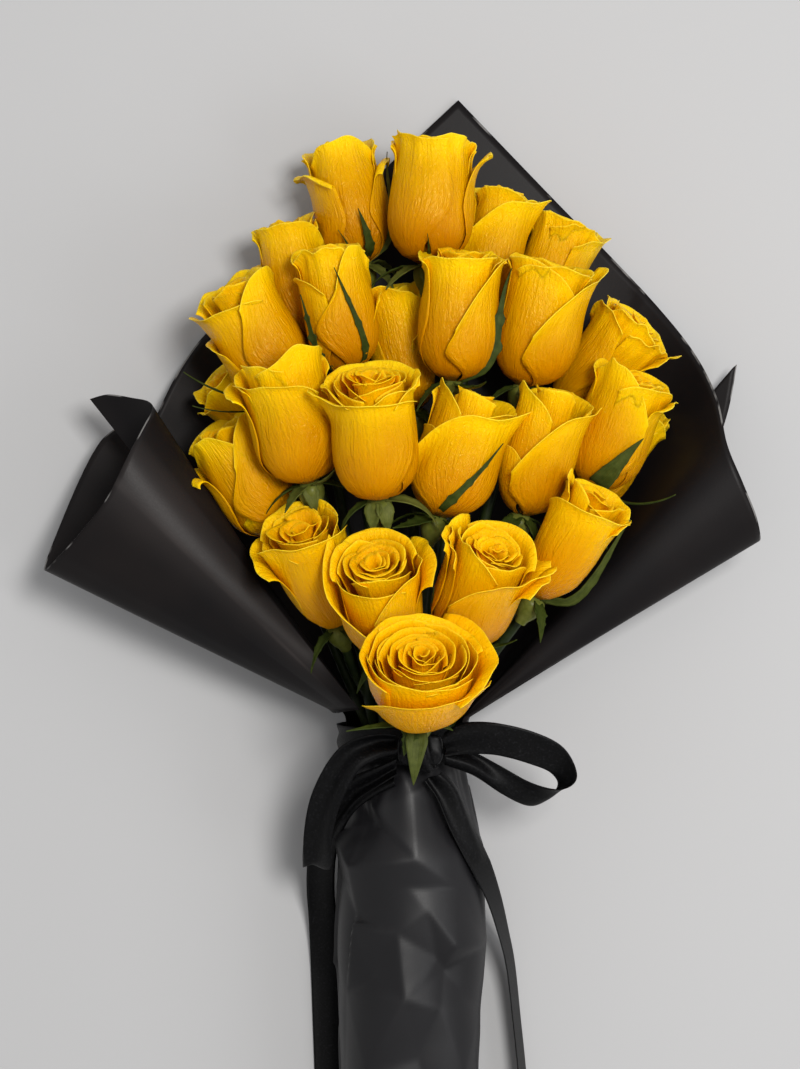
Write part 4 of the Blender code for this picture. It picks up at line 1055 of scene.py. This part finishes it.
# The film: where it starts and ends along the bundle, its radius at the tie and the least
# it ever has, how much wider it gets, and how much of that it loses on its way down.
FILM_TOP, FILM_END = 5.0, -240.0
FILM_TIED, FILM_LEAST, FILM_WIDER, FILM_SLIMMER = 25.6, 25.4, 8.6, 2.6
FILM_LOWEST = 0.4       # height of its middle where it lies on the table
FILM_WALL = 0.25


def film():
    """The film goes once round the stems: tight and pleated at the tie, then wider and
    crumpled, and smooth underneath where it lies on the table."""
    crease = facets(CRUMPLE)

    def place(u, v):
        y = FILM_TOP + (FILM_END - FILM_TOP) * v ** 1.35
        grow = smooth(-y / 55.0)
        radius = FILM_TIED + FILM_WIDER * grow - FILM_SLIMMER * smooth((-y - 60.0) / 120.0)
        centre_z = TIE_Z + (radius + FILM_LOWEST - TIE_Z) * grow
        a = math.tau * u
        x = radius * math.sin(a)
        top = -math.cos(a)
        loose = smooth((-y - 2.0) / 16.0)
        dent = crease(x, y) if top > 0 else crease(-x * 0.93, y + 11.0)
        pleat = noise.noise(Vector((3.6 * math.sin(a), 3.6 * math.cos(a), y * 0.004)))
        pleat = (abs(pleat) * 2.0 - 0.6) * 3.0
        dent = loose * (1.7 * dent + 0.6 * pleat * (1.0 - smooth((-y - 8.0) / 45.0)))
        dent += 0.5 * noise.noise(Vector((x * 0.05, y * 0.05, top))) * loose
        if top < -0.6:
            dent *= 0.25
        radius = max(radius + dent, FILM_LEAST)
        return placed((radius * math.sin(a) + 2.2 * grow, y,
                       max(centre_z - radius * math.cos(a), FILM_LOWEST)))
    bm = bmesh.new()
    sheet_grid(bm, 168, 150, place)
    closed_round(bm)
    piece("handle_film_wrap", bm, FILM, "handle_film", "handle_wrap", thickness=FILM_WALL)


film()


# ---------------------------------------------------------------- ribbon
RIBBON = 17.0           # width it was cut to
RIBBON_WALL = 0.35      # its thickness
BAND = 31.8             # radius of the turn round the tie


def strap(name, path, widths, across, steps, *replaced, pleat=1.0, flat=RIBBON, wander=0.3,
          held="folded"):
    """A flat ribbon along a smooth path.  Where it is narrower than its cut width it is
    gathered in `pleat` waves, so its cloth stays as wide as it was cut.  across: which
    way its width lies along the path.  wander: how uneven it is."""
    def place(u, v):
        c = through(path, u)
        ahead = through(path, min(1.0, u + 0.01)) - through(path, max(0.0, u - 0.01))
        w = through([(x, 0, 0) for x in widths], u).x
        d = through(across, u).normalized()
        n = ahead.cross(d).normalized()
        short = max(0.0, flat * 0.97 / w - 1.0)
        depth = min(3.2, w / (math.pi * pleat) * math.sqrt(short))
        x = v - 0.5
        wave = depth * math.sin(math.tau * pleat * x + 0.8 * math.sin(5.0 * u))
        wave += wander * noise.noise(Vector((u * 7.0, v * 1.5, len(name) * 1.0)))
        return placed(c + d * (w * x) + n * wave)
    bm = bmesh.new()
    sheet_grid(bm, steps, 12, place)
    ob = piece(name, bm, SATIN, "ribbon", *replaced, thickness=RIBBON_WALL)
    stops = [through(path, k / 200) for k in range(201)]
    length = sum((b - a).length for a, b in zip(stops, stops[1:]))


def tie_ribbon():
    """One turn of ribbon round the bundle, with two shallow pleats."""
    def ring(u, v):
        a = math.tau * u
        pleats = math.sin(math.tau * (v * 2.0 + 0.25 * math.sin(3 * a)))
        r = BAND + 0.5 * pleats * (0.4 + 0.6 * abs(math.sin(a)))
        return placed((r * math.sin(a), -9.0 + RIBBON * v, TIE_Z - r * math.cos(a)))
    bm = bmesh.new()
    sheet_grid(bm, 120, 14, ring)
    closed_round(bm)
    band = piece("ribbon_round_tie", bm, SATIN, "ribbon", "ribbon_band", thickness=RIBBON_WALL)


def knot():
    """A rounded lump, pinched in the middle, under the knot's turn of ribbon."""
    bm = bmesh.new()
    bmesh.ops.create_cube(bm, size=1.0)
    bmesh.ops.subdivide_edges(bm, edges=bm.edges, cuts=9, use_grid_fill=True)
    for v in bm.verts:
        p = v.co * 2.0
        r = sum(abs(c) ** 3.2 for c in p) ** (1 / 3.2)
        p *= max(abs(c) for c in p) / r
        fold = 0.10 * math.sin(7.0 * p.y + 3.0 * p.x) * abs(p.x)
        pinch = 1.0 - 0.22 * (1 - p.x * p.x)
        v.co = placed((7.0 + 10.5 * p.x, -1.5 + 9.0 * p.y * pinch,
                       69.8 + 4.0 * (p.z + fold) * pinch))
    rounded(piece("ribbon_knot_core", bm, SATIN, "ribbon", "ribbon_knot"))


def bow():
    """The knot's turn, the two loops and the two ends, all from the knot outwards.  Each
    stop on the way is: place from the tie, width, which way the width lies."""
    straps = [
        ("ribbon_knot_turn", 40, (), dict(pleat=2.0), [
            ((4, 10, 64.5), 13, (1, 0.1, 0)), ((4.5, 9.5, 69), 12.5, (1, 0.1, 0)),
            ((5.5, 5, 74.2), 12, (1, 0.1, 0)), ((6.5, -1, 75.4), 12, (1, 0.1, 0)),
            ((7.5, -7, 74), 12, (1, 0.1, 0)), ((8.5, -11.2, 69), 12, (1, 0.1, 0)),
            ((9, -11.5, 65.5), 13, (1, 0.1, 0))]),
        ("bow_loop_left_ribbon", 160, ("bow_loop_left",), {}, [
            ((-4.0, 1, 73), 9, (0, 1, 0)), ((-14, 0, 74.5), 12, (-0.1, 1, 0)),
            ((-26, -6, 74), 14, (-0.6, 0.8, -0.1)), ((-36, -24, 69), 15, (-0.9, 0.35, -0.35)),
            ((-40, -42, 62), 15.5, (-0.85, 0.05, -0.5)), ((-40, -55, 56), 16, (-0.85, 0, -0.5)),
            ((-41.5, -57, 50), 15.5, (-0.85, 0, -0.5)),
            ((-41, -46, 49.5), 15, (-0.8, 0.1, -0.55)), ((-35, -33, 58), 13, (-0.75, 0.45, -0.4)),
            ((-25, -21, 65.5), 11, (-0.45, 0.85, -0.2)), ((-13, -14, 69.5), 9, (-0.1, 1, 0)),
            ((-4.0, -9, 70), 8, (0, 1, 0))]),
        ("bow_loop_right_ribbon", 150, ("bow_loop_right",), {}, [
            ((18.0, 1, 73), 11, (0, 1, 0.1)), ((27, 4, 76), 15, (-0.1, 1, 0.2)),
            ((42, 4, 79), 16.4, (-0.1, 1, 0.35)), ((58, 0, 78), 16.5, (0.1, 0.95, 0.4)),
            ((70, -6, 74), 16.5, (0.35, 0.75, 0.6)), ((75, -16, 68), 16.5, (0.5, 0.3, 0.85)),
            ((69, -23, 62), 16.4, (0.4, 0.4, 0.85)), ((58, -23, 60), 16.4, (0.1, 0.7, 0.7)),
            ((44, -16, 63), 15.5, (-0.1, 0.9, 0.45)), ((31, -8, 67), 12, (-0.2, 1, 0.1)),
            ((18.0, -4, 69.5), 9, (-0.1, 1, 0))]),
        ("ribbon_tail_left_end", 130, ("ribbon_tail_left",),
         dict(flat=14.0, wander=0.0, held="hung"), [
            ((-5, -15, 64.5), 7, (-0.2, 1, 0)), ((-16, -20, 61.5), 8.5, (-0.6, 0.8, -0.2)),
            ((-28.0, -29, 54.8), 11, (-0.9, 0.4, -0.3)), ((-36, -42, 42), 13, (-1, 0.15, -0.2)),
            ((-39.5, -56, 30), 13.5, (-1, 0.0, -0.1)), ((-40.5, -72, 17), 13.5, (-1, 0, 0)),
            ((-39.8, -88, 7.5), 13.5, (-1, 0, 0)), ((-39, -110, 1.9), 13.5, (-1, 0, 0)),
            ((-38, -140, 0.9), 13.5, (-1, 0, 0)), ((-37, -168, 0.9), 13.5, (-1, 0, 0)),
            ((-36, -198, 0.9), 13.5, (-1, 0, 0))]),
        ("ribbon_tail_right_end", 120, ("ribbon_tail_right",), dict(wander=0.0, held="hung"), [
            ((13, -14, 67.0), 9, (0.9, 0.5, 0)), ((20, -22, 65.5), 12, (0.8, 0.3, -0.5)),
            ((27, -38, 61), 15, (0.7, 0.2, -0.75)), ((35, -56, 53), 16.5, (0.6, 0.1, -0.8)),
            ((42, -74, 39), 16.5, (0.45, 0, -0.9)), ((47, -92, 24), 16.5, (0.34, 0, -0.95)),
            ((51, -110, 13), 16.5, (0.28, 0, -0.96)), ((54, -136, 9.2), 16.5, (0.26, 0, -0.97)),
            ((57, -166, 9.2), 16.5, (0.26, 0, -0.97)), ((59, -200, 9.2), 16.5, (0.26, 0, -0.97))]),
    ]
    for name, steps, replaced, how, way in straps:
        path, widths, across = zip(*way)
        strap(name, path, widths, across, steps, *replaced, **how)


tie_ribbon()
knot()
bow()


# ---------------------------------------------------------------- light, floor, camera
def area(name, place, target, size, power, colour):
    """A square light, in metres and watts."""
    data = bpy.data.lights.new(name, 'AREA')
    data.size = size
    data.energy = power
    data.color = colour
    ob = bpy.data.objects.new(name, data)
    bpy.context.scene.collection.objects.link(ob)
    ob.location = place
    ob.rotation_euler = (Vector(target) - Vector(place)).to_track_quat('-Z', 'Y').to_euler()


FLOOR_DROP = 0.0005     # metres: how far the floor lies below the bouquet
SKY_LIGHT = 0.55
LENS, SENSOR = 94.1, 36.0
CAMERA = (-2.33, 97.9, 1360.0)      # mm from the tie
# The two lights: place, what it is aimed at, size, watts, colour.
LIGHTS = {
    "key": ((0.42, 0.34, 1.68), (0.0, 0.08, 0.05), 0.45, 25.5, (1.0, 0.985, 0.96)),
    "fill": ((0.95, -0.25, 0.9), (0.03, 0.0, 0.05), 0.6, 3.5, (0.97, 0.98, 1.0)),
}


def studio():
    """A pale floor, soft daylight with one brighter light, and a camera straight above."""
    bm = bmesh.new()
    bmesh.ops.create_grid(bm, x_segments=1, y_segments=1, size=3.0)
    mesh = bpy.data.meshes.new("floor")
    bm.to_mesh(mesh)
    bm.free()
    scene = bpy.context.scene
    floor = bpy.data.objects.new("floor", mesh)
    scene.collection.objects.link(floor)
    floor.location.z = -FLOOR_DROP
    n = Nodes("floor")
    n.surface(Base_Color=(0.42, 0.42, 0.425), Roughness=0.9)
    mesh.materials.append(n.material)
    world = bpy.data.worlds.new("studio")
    scene.world = world
    world.use_nodes = True
    sky = world.node_tree.nodes["Background"]
    sky.inputs["Color"].default_value = (1.0, 1.0, 1.0, 1.0)
    sky.inputs["Strength"].default_value = SKY_LIGHT
    for name, light in LIGHTS.items():
        area(name, *light)
    scene.view_settings.view_transform = 'Standard'
    lens = bpy.data.cameras.new("camera")
    lens.lens, lens.sensor_width = LENS, SENSOR
    camera = bpy.data.objects.new("camera", lens)
    scene.collection.objects.link(camera)
    camera.location = placed(CAMERA)
    scene.camera = camera


studio()
